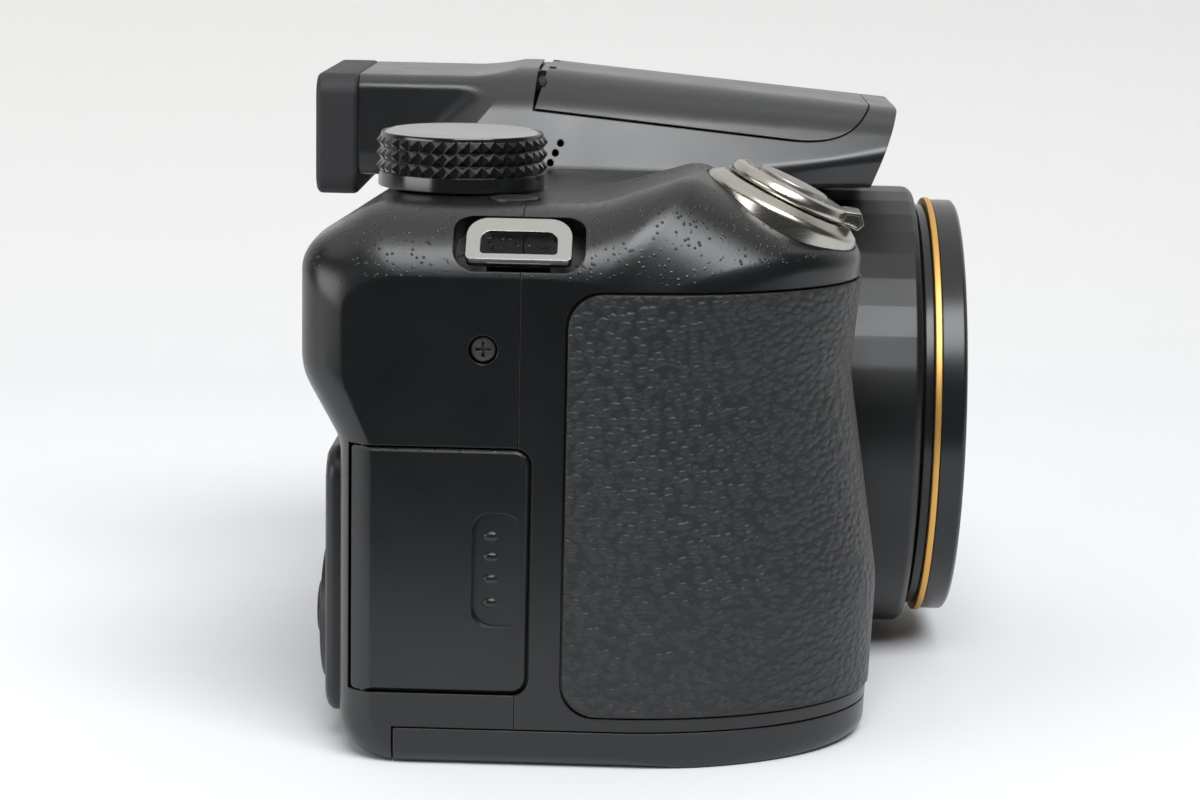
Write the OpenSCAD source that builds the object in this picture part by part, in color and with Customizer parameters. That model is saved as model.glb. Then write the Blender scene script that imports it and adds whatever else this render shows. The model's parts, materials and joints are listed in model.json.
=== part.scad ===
// Bridge camera: a compact body with a deep grip, a telescoping zoom lens, a pop-up flash and an eyepiece.
// Frame: the origin is the mouth of the tripod socket on the base, +Z is up, the lens looks along -Y,
// the lens axis lies in the plane X = 0 and the hand grip is on the -X side.

/* [Body] */
// Distance from the lens axis to the grip side
grip_side = 79; // [77:0.5:84]
// Distance from the lens axis to the plain side
plain_side = 40; // [39:0.5:46]
// Height of the top deck beside the dial
deck_z = 74.3; // [73:0.1:77]
// Rear wall, measured behind the tripod socket
rear_y = 38; // [37:0.5:42]
// Front wall beside the lens, ahead of the tripod socket
front_y = -14; // [-16:0.5:-13]
// Thickness of the moulded walls
wall = 2; // [1.6:0.1:2.4]
// Plane where the front and rear shells meet
parting_y = 14.2; // [13:0.1:15.5]
// Radius where the side rolls over into the top deck
shoulder_r = 12; // [9:0.5:14]
// Radius where the side rolls round to the rear wall
rear_corner_r = 6.5; // [5:0.5:8]
// Radius of the bottom edges
foot_r = 2.5; // [1.5:0.1:3.5]
// Angle of the soft crease round the flat side faces
crease = 15; // [8:1:22]
// Gap left at every visible seam
seam = 0.25; // [0.15:0.05:0.35]

/* [Grip] */
// Front of the grip at its belly
grip_y = -34.6; // [-38:0.2:-33]
// Depth of the finger waist, measured back from the belly
waist_depth = 4.6; // [2:0.2:6]
// Inner wall of the grip beside the fingers
grip_in_x = -44.5; // [-45.5:0.1:-43.5]
// Depth of the grip's rounded front, measured backward
grip_round_y = 36; // [35:0.5:37]
// Width of the grip's rounded front, measured inward from the side
grip_round_x = 24; // [23:0.5:25]
// Rear surface of the thumb rest
thumb_y = 43.4; // [41:0.2:45]
// Crest of the deck in front of which the shutter slope starts
crest_y = -9; // [-11:0.5:-7]
// Height of that crest
crest_z = 78.4; // [77.5:0.1:79.5]
// Slope of the shutter deck
shutter_tilt = 25; // [22:1:28]
// Rear edge of the rubber skin
skin_rear_y = 8.2; // [6:0.2:10]
// Lower edge of the rubber skin
skin_low_z = 7; // [6.5:0.1:9]
// Upper edge of the rubber skin
skin_top_z = 64.2; // [61:0.2:65]
// How far the rubber stands proud of the shell
skin_proud = 0.35; // [0.1:0.05:0.5]
// Depth of the bed that the rubber lies in
skin_bed = 0.9; // [0.6:0.05:1.1]

/* [Lens] */
// Height of the lens axis
lens_z = 36; // [35.5:0.1:37]
// Outer radius of the fixed barrel
barrel_r = 34.2; // [33:0.1:34.6]
// Front end of the fixed barrel
barrel_front_y = -41; // [-45:0.5:-39]
// Wall of the fixed barrel
barrel_thick = 3.2; // [2.9:0.1:3.5]
// Wall of each telescoping barrel
barrel_wall = 1.5; // [1.2:0.1:1.8]
// Radial running gap between the barrels
barrel_gap = 0.3; // [0.2:0.05:0.4]
// Travel of each of the two telescoping stages
stage_travel = 24; // [18:1:25]
// How far the front ring stands out round the front barrel
ring_lip = 3.3; // [3:0.1:4]
// Wall of the front ring round the filter thread
ring_wall = 3.2; // [3:0.1:3.6]
// Front face of the lens
lens_front_y = -49.4; // [-52:0.2:-48.4]
// Number of flats round the top of the fixed barrel
barrel_flats = 40; // [30:1:48]
// Travel of the focus lens each way
focus_travel = 2.5; // [1:0.5:3]

/* [Top controls] */
// Centre of the mode dial across the body
dial_x = -50.8; // [-53:0.1:-49.5]
// Centre of the mode dial fore and aft
dial_y = 23.9; // [22.5:0.1:25]
// Outer radius of the mode dial
dial_r = 11.9; // [10.5:0.1:12.4]
// Height of the knurled part of the dial
dial_h = 6.4; // [5:0.1:8]
// Number of knurls round the dial
dial_knurls = 40; // [30:1:48]
// Centre of the shutter button across the body
shutter_x = -57; // [-58:0.1:-56.5]
// Distance down the slope from the crest to the shutter button
shutter_down = 12.3; // [11.8:0.1:12.6]
// Radius of the bright plate under the zoom lever
plate_r = 11.2; // [10:0.1:11.5]
// Radius of the zoom lever's ring
lever_r = 8.7; // [8:0.1:9]
// Radius of the shutter button
shutter_r = 5; // [4:0.1:5.2]
// Radius of the power button
power_r = 3.2; // [2.5:0.1:3.4]

/* [Hump and finder] */
// Half width of the deck opening under the hump
hump_base = 24; // [23.5:0.1:25]
// Top of the hump above the flash hinge
hump_top_z = 88.2; // [87:0.1:90]
// Front edge of the hump
hump_front_y = -38.8; // [-39:0.2:-36]
// Rear end of the finder tunnel
tunnel_rear_y = 41.9; // [41:0.1:44]
// Length of the rubber eyecup
eyecup_len = 6.4; // [5:0.1:8]
// Half width of the eyecup
eyecup_w = 17.6; // [16.5:0.1:19]
// Angle the flash swings up
flash_open = 40; // [25:1:45]

/* [Doors and back] */
// Front edge of the card door
card_front_y = 12.3; // [11:0.1:12.6]
// Rear edge of the card door, round the corner
card_rear_y = 36.3; // [36:0.1:36.5]
// Lower edge of the card door
card_low_z = 9.9; // [9:0.1:12]
// Upper edge of the card door
card_top_z = 43.4; // [42:0.1:45]
// Thickness of the doors
door_t = 1.3; // [1:0.1:1.5]
// Seam above the battery door
battery_top_z = 5.3; // [4.5:0.1:5.6]
// Rear edge of the battery door
battery_rear_y = 30.5; // [27:0.5:31]
// How far the battery door slides before it swings
battery_slide = 4; // [3:0.5:5]
// Rear face of the raised back panel
panel_y = 40.5; // [40.2:0.1:41.5]
// Width of the display window
window_w = 63; // [58:0.5:64]
// Height of the display window
window_h = 50; // [45:0.5:51]
// Travel of the push buttons
button_travel = 0.5; // [0.3:0.1:0.6]
// Radial gap round the push buttons
button_gap = 0.25; // [0.15:0.05:0.3]

/* [Tripod socket] */
// Radius of the tripod thread
socket_r = 3.175; // [3:0.005:4.8]
// Depth of the tripod thread
socket_depth = 5.5; // [4.5:0.1:6]
// Outer radius of the metal insert
insert_r = 5.4; // [5.2:0.1:5.5]

/* [Hidden] */
$fn = 64;
// A face-to-face fit, a running fit and the overshoot of a cut
touch = 0.05;
run = 0.06;
over = 5;

// Vector helpers
function unit(v) = v / norm(v);
function mix(a, b, t) = a + (b - a) * t;
function ease(t) = t <= 0 ? 0 : t >= 1 ? 1 : t * t * (3 - 2 * t);
function flat2(c) = [c[0], c[1]];

// One corner [a, b, radius] of a closed outline moved outward by d
function moved_corner(c, i, d) =
    let (n = len(c), p = flat2(c[i]))
    let (u = unit(p - flat2(c[(i + n - 1) % n])), v = unit(flat2(c[(i + 1) % n]) - p))
    let (nu = [u[1], -u[0]], nv = [v[1], -v[0]], q = p + d * (nu + nv) / (1 + nu * nv))
    [q[0], q[1], max(0.4, c[i][2] + (cross(u, v) > 0 ? d : -d))];
function moved(c, d) = d == 0 ? c : [for (i = [0 : len(c) - 1]) moved_corner(c, i, d)];

// Points of the arc that rounds one corner, at least 1 mm long on each side so that no two points meet
function arc(c, i, count) =
    let (n = len(c), p = flat2(c[i]))
    let (a = p - flat2(c[(i + n - 1) % n]), b = flat2(c[(i + 1) % n]) - p)
    let (u = unit(a), v = unit(b), turn = acos(max(-1, min(1, u * v))))
    let (t = min(max(1, c[i][2] * tan(turn / 2)), 0.48 * norm(a), 0.48 * norm(b)))
    let (r = turn < 0.01 ? 0 : t / tan(turn / 2), w = [-u[1], u[0]] * sign(cross(u, v)))
    [for (k = [0 : count - 1])
        let (f = count > 1 ? k / (count - 1) : 0.5)
        p - t * u + (turn < 0.01 ? 2 * t * f * u
            : r * sin(turn * f) * u + r * (1 - cos(turn * f)) * w)];
function outline(c, counts) = [for (i = [0 : len(c) - 1]) each arc(c, i, counts[i])];

// Closed solid through a row of rings of equally many points
module loft(rings) {
    m = len(rings);
    n = len(rings[0]);
    function centre(r) = [for (k = [0 : 2]) mix(min([for (p = r) p[k]]), max([for (p = r) p[k]]), 0.37)];
    points = [for (r = rings) each r, centre(rings[0]), centre(rings[m - 1])];
    sides = [for (i = [0 : m - 2], j = [0 : n - 1])
        let (a = i * n + j, b = i * n + (j + 1) % n)
        each [[a, a + n, b + n], [a, b + n, b]]];
    first = [for (j = [0 : n - 1]) [m * n, j, (j + 1) % n]];
    last = [for (j = [0 : n - 1]) [m * n + 1, (m - 1) * n + (j + 1) % n, (m - 1) * n + j]];
    polyhedron(points, concat(sides, first, last), convexity = 8);
}

// Plain blocks and prisms in the body's frame
module block(x, y, z) {
    translate([x[0], y[0], z[0]]) cube([x[1] - x[0], y[1] - y[0], z[1] - z[0]]);
}
module side_prism(x) {
    translate([x[0], 0, 0]) rotate([90, 0, 90]) linear_extrude(x[1] - x[0]) children();
}
module back_prism(y) {
    translate([0, y[1], 0]) rotate([90, 0, 0]) linear_extrude(y[1] - y[0]) children();
}
module round_rect(a, b, r) {
    translate([a[0] + r, b[0]]) square([a[1] - a[0] - 2 * r, b[1] - b[0]]);
    translate([a[0], b[0] + r]) square([a[1] - a[0], b[1] - b[0] - 2 * r]);
    for (x = [a[0] + r, a[1] - r], y = [b[0] + r, b[1] - r]) translate([x, y]) circle(r);
}
// Rods along X, Y and Z, given by their two ends
module rod_x(x, y, z, r) translate([x[0], y, z]) rotate([0, 90, 0]) cylinder(x[1] - x[0], r, r);
module rod_y(x, y, z, r) translate([x, y[0], z]) rotate([-90, 0, 0]) cylinder(y[1] - y[0], r, r);
module rod_z(x, y, z, r) translate([x, y, z[0]]) cylinder(z[1] - z[0], r, r);
// Turned part about the lens axis, its profile given as [radius, y]
module turned(profile) {
    translate([0, 0, lens_z]) rotate([-90, 0, 0]) rotate_extrude($fn = 96) polygon(profile);
}
module tube(r0, r1, y) turned([[r0, y[0]], [r1, y[0]], [r1, y[1]], [r0, y[1]]]);

// Body form: corners of the side profile at the grip and beside the lens, as [y, z, radius]
thumb_low_z = 43;
waist_z = 51;
slope_end_y = grip_y + 3.2;
slope_end_z = crest_z - (crest_y - slope_end_y) * tan(shutter_tilt);
grip_corners = [
    [rear_y, 0, 6],
    [rear_y, thumb_low_z, 6],
    [thumb_y, thumb_low_z + 9, 9],
    [thumb_y, deck_z - 6, 5],
    [rear_y - 4, deck_z, 9],
    [crest_y + 14, deck_z, 16],
    [crest_y, crest_z, 5],
    [slope_end_y, slope_end_z, 3],
    [grip_y + waist_depth, waist_z, 16],
    [grip_y, 22, 26],
    [grip_y + 0.8, 0, foot_r]];
body_corners = [
    [rear_y, 0, 6],
    [rear_y, thumb_low_z, 6],
    [rear_y, thumb_low_z + 9, 9],
    [rear_y, deck_z - 5, 4],
    [rear_y - 4.5, deck_z, 5],
    [crest_y + 14, deck_z, 16],
    [front_y + 8, deck_z, 4],
    [front_y, deck_z - 5, 4],
    [front_y, waist_z, 16],
    [front_y, 22, 26],
    [front_y, 0, foot_r]];
// How far each corner is drawn in at the flat side faces, as [along y, along z]
grip_end = [
    [-rear_corner_r, foot_r],
    [-rear_corner_r, 0],
    [-rear_corner_r - 2, 0],
    [-rear_corner_r - 2, -7],
    [-3, -shoulder_r],
    [6, -shoulder_r],
    [13.5, -shoulder_r - 6.5],
    [grip_round_y - 1, -9],
    [grip_round_y, 0],
    [grip_round_y, 0],
    [grip_round_y, foot_r]];
plain_end = [for (i = [0 : 10]) i == 2 ? [-rear_corner_r, 0] : i == 3 ? [1 - rear_corner_r, -7]
    : i == 5 ? [0, -shoulder_r] : i == 6 ? [0, -shoulder_r - 1] : i == 7 ? [6, -shoulder_r + 1]
    : i > 7 ? [6, grip_end[i][1]] : grip_end[i]];
thumb_from = -64;
thumb_to = -40;
wall_blend = 7;

// Amount a, drawn in along an elliptic arc of length l that meets the flat side at an angle
front_crease = 4;
drop_length = 14;
function drawn_in(a, l, angle, u) =
    let (c = cos(angle) - u / max(0.5, l))
    abs(a) < 0.01 || c <= 0 ? 0 : a * (1 - sqrt(1 - c * c));
function shrunk(a, d) = abs(a) < 0.01 ? 0 : sign(a) * max(0.5, abs(a) + d);
function body_corner(x, i, d) =
    let (front = i >= 6)
    let (from = front ? grip_in_x - wall_blend / 2 + d : thumb_from)
    let (to = front ? grip_in_x + wall_blend / 2 + d : thumb_to)
    let (c = mix(grip_corners[i], body_corners[i], ease((x - from) / (to - from))))
    c;
function body_section(x, d) =
    let (left = x + grip_side + d, right = plain_side + d - x, grip = left < right, u = min(left, right))
    let (c = moved([for (i = [0 : 10]) body_corner(x, i, d)], d))
    [for (i = [0 : 10])
        let (e = grip ? grip_end[i] : plain_end[i], a = shrunk(e[0], d), b = shrunk(e[1], d))
        let (round_front = grip && i > 5)
        let (y = drawn_in(a, round_front ? grip_round_x + d : abs(a), round_front ? front_crease : crease, u))
        [c[i][0] + y, c[i][1] + drawn_in(b, min(abs(b), drop_length + d), crease, u), c[i][2]]];
fine_arcs = [6, 3, 4, 4, 4, 3, 4, 5, 4, 3, 4];
plain_arcs = [3, 2, 3, 3, 3, 2, 3, 3, 3, 2, 2];
foot_arcs = [6, 1, 1, 1, 1, 1, 1, 1, 1, 1, 4];
side_arcs = [2, 2, 1, 1, 1, 1, 1, 1, 1, 1, 1];
skin_arcs = [1, 1, 1, 1, 1, 1, 2, 5, 4, 3, 3];
// Stations across the body, fine for the outside and coarse for the cavity
end_steps = [0, 0.5, 1.4, 2.8, 4.6, 6.8, 9.4, 12.4, 16, 20.5];
coarse_steps = [0, 0.9, 3, 6.5, 11.5, 17];
wall_steps = [-0.5, -0.24, 0, 0.24, 0.5];
function grip_stations(d, fine) = fine
    ? [for (s = end_steps) -grip_side - d + s] : [for (s = coarse_steps) -grip_side - d + s];
function wall_stations(d) = [for (s = wall_steps) grip_in_x + d + s * wall_blend];
function plain_stations(d, fine) = [for (s = fine ? [10, 6, 3.4, 1.4, 0] : [10, 4, 1.4, 0])
    plain_side + d - s];
function stations(d, fine) = concat(grip_stations(d, fine), [-53.5], wall_stations(d),
    [-38], plain_stations(d, fine));
module body_loft(d, arcs, list) {
    loft([for (x = list) [for (p = outline(body_section(x, d), arcs)) [x, p[0], p[1]]]]);
}
module body_form(d = 0, fine = true) body_loft(d, fine ? fine_arcs : plain_arcs, stations(d, fine));
// The grip's share of the form, cut off where the plain body starts
module grip_form(d, arcs, fine = true) {
    body_loft(d, arcs, concat(grip_stations(d, fine), [-53.5], wall_stations(d)));
}
// The grip side's share of the form, below the thumb rest
module side_form(d) body_loft(d, side_arcs, grip_stations(d, true));

// Hump form: half outlines [x, z, radius] of the finder tunnel, the widest place and the prow
tunnel_half = [[16.4, deck_z - 2.3, 1], [17.2, deck_z + 1.7, 6], [16, deck_z + 9.1, 5],
    [12, hump_top_z - 1.2, 6]];
wide_half = [[22.8, deck_z - 2.3, 1], [22.2, deck_z + 3, 8], [18.6, hump_top_z - 4.2, 6],
    [12.4, hump_top_z, 8]];
prow_half = [[18.4, deck_z - 2.3, 1], [20.4, deck_z + 2.6, 5], [18, hump_top_z - 7.4, 5],
    [12.6, hump_top_z - 4.9, 6]];
flare_rear = [36, 34, 28, 25];
flare_front = [29, 27, 21, 18];
wide_y = 14;
prow_y = -40;
function hump_half(y, i) =
    mix(mix(tunnel_half[i], wide_half[i], ease((flare_rear[i] - y) / (flare_rear[i] - flare_front[i]))),
        prow_half[i], max(0, (wide_y - y) / (wide_y - prow_y)));
function hump_section(y, d) = moved(concat([for (i = [0 : 3]) hump_half(y, i)],
    [for (i = [3 : -1 : 0]) let (h = hump_half(y, i)) [-h[0], h[1], h[2]]]), d);
hump_fine = [2, 4, 4, 4, 4, 4, 4, 2];
hump_plain = [2, 2, 3, 3, 3, 3, 2, 2];
module hump_form(d = 0, fine = true) {
    list = fine ? [tunnel_rear_y, 36, 33, 30.5, 28, 26, 24, 21.5, 18, 14, 4, -8, -20, -30, prow_y]
        : [tunnel_rear_y - 2, 34, 28, 23, 18, 14, -8, prow_y];
    loft([for (y = list) [for (p = outline(hump_section(y, d), fine ? hump_fine : hump_plain))
        [p[0], y, p[1]]]]);
}
// Slanted front of the hump
prow_low_y = hump_front_y + 4.2;
prow_low_z = deck_z - 2.8;
prow_top_z = hump_top_z - 5.2;
module prow_cut() {
    side_prism([-hump_base, hump_base])
        polygon([[prow_low_y, prow_low_z - over], [prow_low_y, prow_low_z], [hump_front_y, prow_top_z],
            [hump_front_y, prow_top_z + over], [prow_y - over, prow_top_z + over],
            [prow_y - over, prow_low_z - over]]);
}
// Outline of the flash lid in side view, grown or shrunk by g
flash_hinge_y = 14.6;
flash_hinge_z = hump_top_z - 1.9;
flash_knuckle_r = 1.5;
flash_low_rear_z = deck_z + 8.4;
flash_low_front_z = deck_z + 4.8;
flash_lip_y = hump_front_y + 4;
module flash_outline(g, rear) {
    polygon([[flash_hinge_y + rear - 0.8, hump_top_z + over], [flash_hinge_y + rear - 0.8, hump_top_z],
        [flash_hinge_y + rear + 0.8, flash_low_rear_z - g], [-22.6, flash_low_front_z - g],
        [-28.5 - g / 2, flash_low_front_z - g], [-31.6 - g / 2, flash_low_front_z + 1.9 - g],
        [flash_lip_y - g, hump_top_z - 4.2], [flash_lip_y - g, hump_top_z + over]]);
}

// Placing helpers for the sloping shutter deck and the strap lugs
shutter_y = crest_y - shutter_down * cos(shutter_tilt);
shutter_z = crest_z - shutter_down * sin(shutter_tilt);
module at_shutter() translate([shutter_x, shutter_y, shutter_z]) rotate([shutter_tilt, 0, 0]) children();
module ring_z(r0, r1, z) {
    difference() {
        rod_z(0, 0, z, r1);
        rod_z(0, 0, [z[0] - 1, z[1] + 1], r0);
    }
}
lug_y = parting_y + 0.3;
lug_lean = 45;
lug_in = shoulder_r * 0.23;
lug_z = deck_z - shoulder_r * 0.33;
lug_w = 14.4;
lug_h = 7.4;
lug_t = 1.6;
lug_depth = 4.2;
module at_lugs() {
    translate([-grip_side + lug_in, lug_y, lug_z]) rotate([0, -lug_lean, 0]) children();
    mirror([1, 0, 0]) translate([-plain_side + lug_in, lug_y, lug_z]) rotate([0, -lug_lean, 0]) children();
}
module lug_pocket() {
    translate([0, 0, -lug_depth]) linear_extrude(lug_depth + over)
        round_rect([-lug_h / 2 - 0.7, lug_h / 2 + 0.7], [-lug_w / 2 - 1.4, lug_w / 2 + 1.4], 2.8);
}
module lug_boss() {
    translate([-lug_h / 2 - 1.6, -lug_w / 2 - 2.6, -lug_depth - 1.4])
        cube([lug_h + 3.2, lug_w + 5.2, lug_depth - 0.8]);
}

// Doors: the side windows that their seams draw, grown or shrunk by g
module card_window(g, r) {
    y = [card_front_y - g, card_rear_y + g];
    z = [card_low_z - g, card_top_z + g];
    round_rect(y, z, r + g);
    round_rect([y[0] + 6, y[1]], z, max(0.3, card_rear_corner_r + g));
}
card_corner_r = 2.4;
card_rear_corner_r = 0.8;
// The pin lies under the rounded rear corner, far enough before the rear edge for the door to clear the case
card_pin_depth = 1.4;
card_pin_ahead = 13;
card_pin_a = asin((card_rear_y - rear_y + rear_corner_r) / rear_corner_r) - card_pin_ahead;
card_pin_x = -grip_side + rear_corner_r * cos(crease) - (rear_corner_r - card_pin_depth) * cos(card_pin_a);
card_pin_y = rear_y - rear_corner_r + (rear_corner_r - card_pin_depth) * sin(card_pin_a);
card_swing_r = 2.1;
card_boss_r = 1.3;
card_boss_h = 2.2;
card_pin_r = 0.6;
card_eye_r = 1.15;
battery_pin_x = grip_in_x - 3.5;
battery_pin_z = 1.45;
battery_pin_r = 0.6;
battery_eye_r = 1.15;
battery_lift = 0.2;
battery_hinge_gap = 0.45;
module battery_zone(g) {
    block([-grip_side - over, battery_pin_x + battery_eye_r + battery_hinge_gap + g],
        [grip_y - over, battery_rear_y + g], [-over, battery_top_z + g]);
}
module skin_window(g) {
    side_prism([-grip_side - over, grip_in_x - 0.5 - g])
        round_rect([grip_y - over - 10, skin_rear_y - g], [skin_low_z + g, skin_top_z - g], 4.6);
}

// Push buttons of the back: place [x, z], radius and how far they stand proud
video_at = [-41, 53];
play_at = [-64, 29];
menu_at = [-44, 32];
pad_at = [-56, 15.5];
pad_r = 8.8;
pad_land_r = 10.7;
pad_rib_r = 0.9;
ok_r = 3.7;
small_r = 2.5;
video_r = 3;
power_at = [-64.3, parting_y + 1.7];

// Display window
window_x = [-31.5, -31.5 + window_w];
window_z = [9, 9 + window_h];
window_edge = 2;
window_t = 1;
lcd_x = [window_x[0] + window_edge, window_x[1] - window_edge];
lcd_zr = [window_z[0] + window_edge, window_z[1] - window_edge];

// Screws: the side screw and four screws in the base
side_screw = [parting_y + 4.7, 56.3];
base_screws = [[-33, -6], [30, -6], [-33, 31], [30, 31]];
screw_head_r = 1.7;
screw_shank_r = 0.8;
screw_sunk = 1;

// Port door on the plain side
port_y = [17.2, 30.3];
port_z = [20, 46];
port_knuckle_r = door_t / 2;

module plain_screw(head_r) {
    cylinder(0.9, head_r, head_r);
    translate([0, 0, -3]) cylinder(3, screw_shank_r, screw_shank_r);
}
module screw_place() {
    translate([-grip_side + screw_sunk + 0.9, side_screw[0], side_screw[1]]) rotate([0, -90, 0]) children();
    for (p = base_screws) translate([p[0], p[1], screw_sunk + 0.9]) rotate([180, 0, 0]) children();
}
module screw_holes() {
    screw_place() {
        union() {
            translate([0, 0, -touch]) cylinder(over, screw_head_r + 0.2, screw_head_r + 0.2);
            translate([0, 0, -3.5]) cylinder(over, screw_shank_r + 0.05, screw_shank_r + 0.05);
        }
    }
}

// Cuts that the front and rear shells share
module shared_cuts() {
    block([-hump_base - touch, hump_base + touch], [front_y - over, thumb_y + over],
        [deck_z - 2.3 - touch, 99]);
    at_lugs() lug_pocket();
    battery_zone(0);
    screw_holes();
    rod_z(power_at[0], power_at[1], [deck_z - 3, deck_z + over], power_r + button_gap);
    difference() {
        side_prism([-grip_side - over, -grip_side + rear_corner_r]) card_window(0, card_corner_r);
        side_form(-door_t - touch);
    }
    side_prism([-grip_side - over, -grip_side + rear_corner_r]) card_window(-2, card_corner_r);
    rod_z(card_pin_x, card_pin_y, [card_low_z, card_top_z], card_swing_r);
    rod_z(card_pin_x, card_pin_y, [card_low_z - 1.6, card_top_z + 1.6], card_pin_r + touch / 2);
}
module shell(zone) {
    difference() {
        intersection() {
            union() {
                difference() {
                    body_form(0);
                    body_form(-wall, false);
                }
                at_lugs() lug_boss();
                children();
            }
            zone_block(zone);
        }
        shared_cuts();
    }
}
module zone_block(front) {
    block([-grip_side - over, plain_side + over],
        front ? [grip_y - over, parting_y] : [parting_y + touch, thumb_y + over], [-over, 99]);
}

module front_shell() color("#26272a") {
    difference() {
        shell(true) at_shutter() ring_z(shutter_r + 2.2, plate_r + 0.9, [-6, -2.75]);
        rod_y(0, [front_y - over, front_y + 2 * wall], lens_z, barrel_r + 0.3);
        difference() {
            skin_window(0);
            grip_form(-skin_bed, skin_arcs, false);
        }
        at_shutter() rod_z(0, 0, [-2.8, 12], plate_r + 0.15);
        rod_y(af_at[0], [front_y - over, front_y + wall + 1], af_at[1], af_r + touch);
        rod_z(0, 0, [-1, wall + 1], insert_r + touch);
    }
}
af_at = [-36.5, 63];
af_r = 2.4;

module rear_shell() color("#232427") {
    difference() {
        shell(false) {
            board_posts();
            card_bosses();
        }
        rod_y(video_at[0], [rear_y - wall - 1, rear_y + over], video_at[1], video_r + button_gap);
        rod_z(dial_x, dial_y, [deck_z - wall - 1, deck_z + over], dial_stem_r + run);
        block([plain_side - door_t - touch, plain_side + over],
            [port_y[0] - port_knuckle_r - 0.15, port_y[1] + 0.15], [port_z[0] - 0.15, port_z[1] + 0.15]);
        block([plain_side - wall - 1, plain_side], [port_y[0] + 2, port_y[1] - 1.6],
            [port_z[0] + 3, port_z[1] - 3]);
    }
}
dial_stem_r = 2;

// Bosses that hold the ends of the card door's pin
module card_bosses() {
    for (z = [[card_low_z - card_boss_h, card_low_z], [card_top_z, card_top_z + card_boss_h]])
        rod_z(card_pin_x, card_pin_y, z, card_boss_r);
}
module board_posts() {
    for (x = [-36, 28], z = [13, 61]) rod_y(x, [board_y[1] + touch, rear_y - wall + 0.4], z, 2.2);
}

module top_cover() color("#2a2b2e") {
    difference() {
        union() {
            intersection() {
                side_prism([-hump_base, hump_base]) polygon(outline(body_corners, fine_arcs));
                block([-hump_base, hump_base], [front_y, rear_y + 1], [deck_z - 2.3, deck_z + 1]);
            }
            hump_form();
        }
        prow_cut();
        side_prism([-hump_base - 1, hump_base + 1]) flash_outline(0.3, 1.5);
        // hollow under the flash and inside the finder tunnel
        block([-15, 15], [-30, 11], [deck_z - over, deck_z + 2.6]);
        block([-13, 13], [18, tunnel_rear_y + over], [deck_z - over, hump_top_z - 3.4]);
        // speaker holes in the flank beside the dial, the flash button and the diopter wheel
        for (k = [0 : 2]) rod_x([-hump_base, -14], 11.4 + 0.7 * k, deck_z + 3.6 - 1.4 * k, 0.5);
        rod_x([14, hump_base + 1], flash_button_at[0], flash_button_at[1], flash_button_r + button_gap);
        rod_x([diopter_x[0] - 0.1, hump_base], diopter_at[0], diopter_at[1], diopter_r + 0.3);
        rod_x([12, diopter_x[0]], diopter_at[0], diopter_at[1], diopter_stub_r + run);
        // room for the lid's knuckle
        rod_x([-6.3, 6.3], flash_hinge_y, flash_hinge_z, flash_knuckle_r + 0.4);
    }
    difference() {
        for (s = [-1, 1]) hinge_ear(s);
        rod_x([-20, 20], flash_hinge_y, flash_hinge_z, flash_pin_r + touch / 2);
    }
}
flash_pin_r = 0.7;
module hinge_ear(s) {
    x = s > 0 ? [6.3, 9.6] : [-9.6, -6.3];
    rod_x(x, flash_hinge_y, flash_hinge_z, flash_knuckle_r);
    block(x, [flash_hinge_y, flash_hinge_y + 4.5], [flash_hinge_z - flash_knuckle_r, flash_hinge_z + 0.6]);
}
flash_button_at = [-2, deck_z + 2.9];
flash_button_r = 2.3;
diopter_at = [32, deck_z + 4.2];
diopter_x = [14.8, 17.9];
diopter_r = 4.2;
diopter_stub_r = 1.2;

module grip_skin() color("#303134") {
    intersection() {
        difference() {
            grip_form(skin_proud, skin_arcs);
            grip_form(-skin_bed + touch, skin_arcs, false);
        }
        skin_window(0.15);
    }
}

// Back panel with the display and the controls
panel_edge = 2.2;
module panel_slab(x, z) {
    hull() {
        back_prism([rear_y + touch, rear_y + 1]) round_rect(x, z, 4, $fn = 32);
        back_prism([panel_y - 0.1, panel_y])
            round_rect([x[0] + panel_edge, x[1] - panel_edge], [z[0] + panel_edge, z[1] - panel_edge], 3,
                $fn = 32);
    }
}
module rear_panel() color("#1f2023") {
    difference() {
        union() {
            panel_slab([window_x[0] - 3.5, window_x[1] + 3.5], [4, window_z[1] + 4.5]);
            panel_slab([-71, window_x[0] + 6], [4, thumb_low_z - 2]);
            translate([pad_at[0], panel_y - 0.4, pad_at[1]]) rotate([-90, 0, 0])
                cylinder(1.6, pad_land_r, pad_land_r - 1);
        }
        back_prism([rear_y - 1, panel_y + 1])
            round_rect([lcd_x[0] - 0.2, lcd_x[1] + 0.2], [lcd_zr[0] - 0.2, lcd_zr[1] + 0.2], 1);
        back_prism([panel_y - window_t, panel_y + 1])
            round_rect([window_x[0] - touch, window_x[1] + touch],
                [window_z[0] - touch, window_z[1] + touch], 2);
        for (p = [play_at, menu_at]) rod_y(p[0], [rear_y - 1, panel_y + 1], p[1], small_r + button_gap);
        rod_y(pad_at[0], [rear_y - 1, panel_y + 2], pad_at[1], pad_r + button_gap);
    }
}
module lcd_window() color("#0c0d10") {
    back_prism([panel_y - window_t + touch, panel_y + 0.1]) round_rect(window_x, window_z, 2);
}
module lcd_module() color("#15171c") {
    back_prism([rear_y + touch, panel_y - window_t - 0.1]) round_rect(lcd_x, lcd_zr, 1);
}

module tripod_socket() color("#b9bcc0") {
    difference() {
        rod_z(0, 0, [0, socket_depth + 1.5], insert_r);
        rod_z(0, 0, [-1, socket_depth], socket_r);
    }
}

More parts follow.
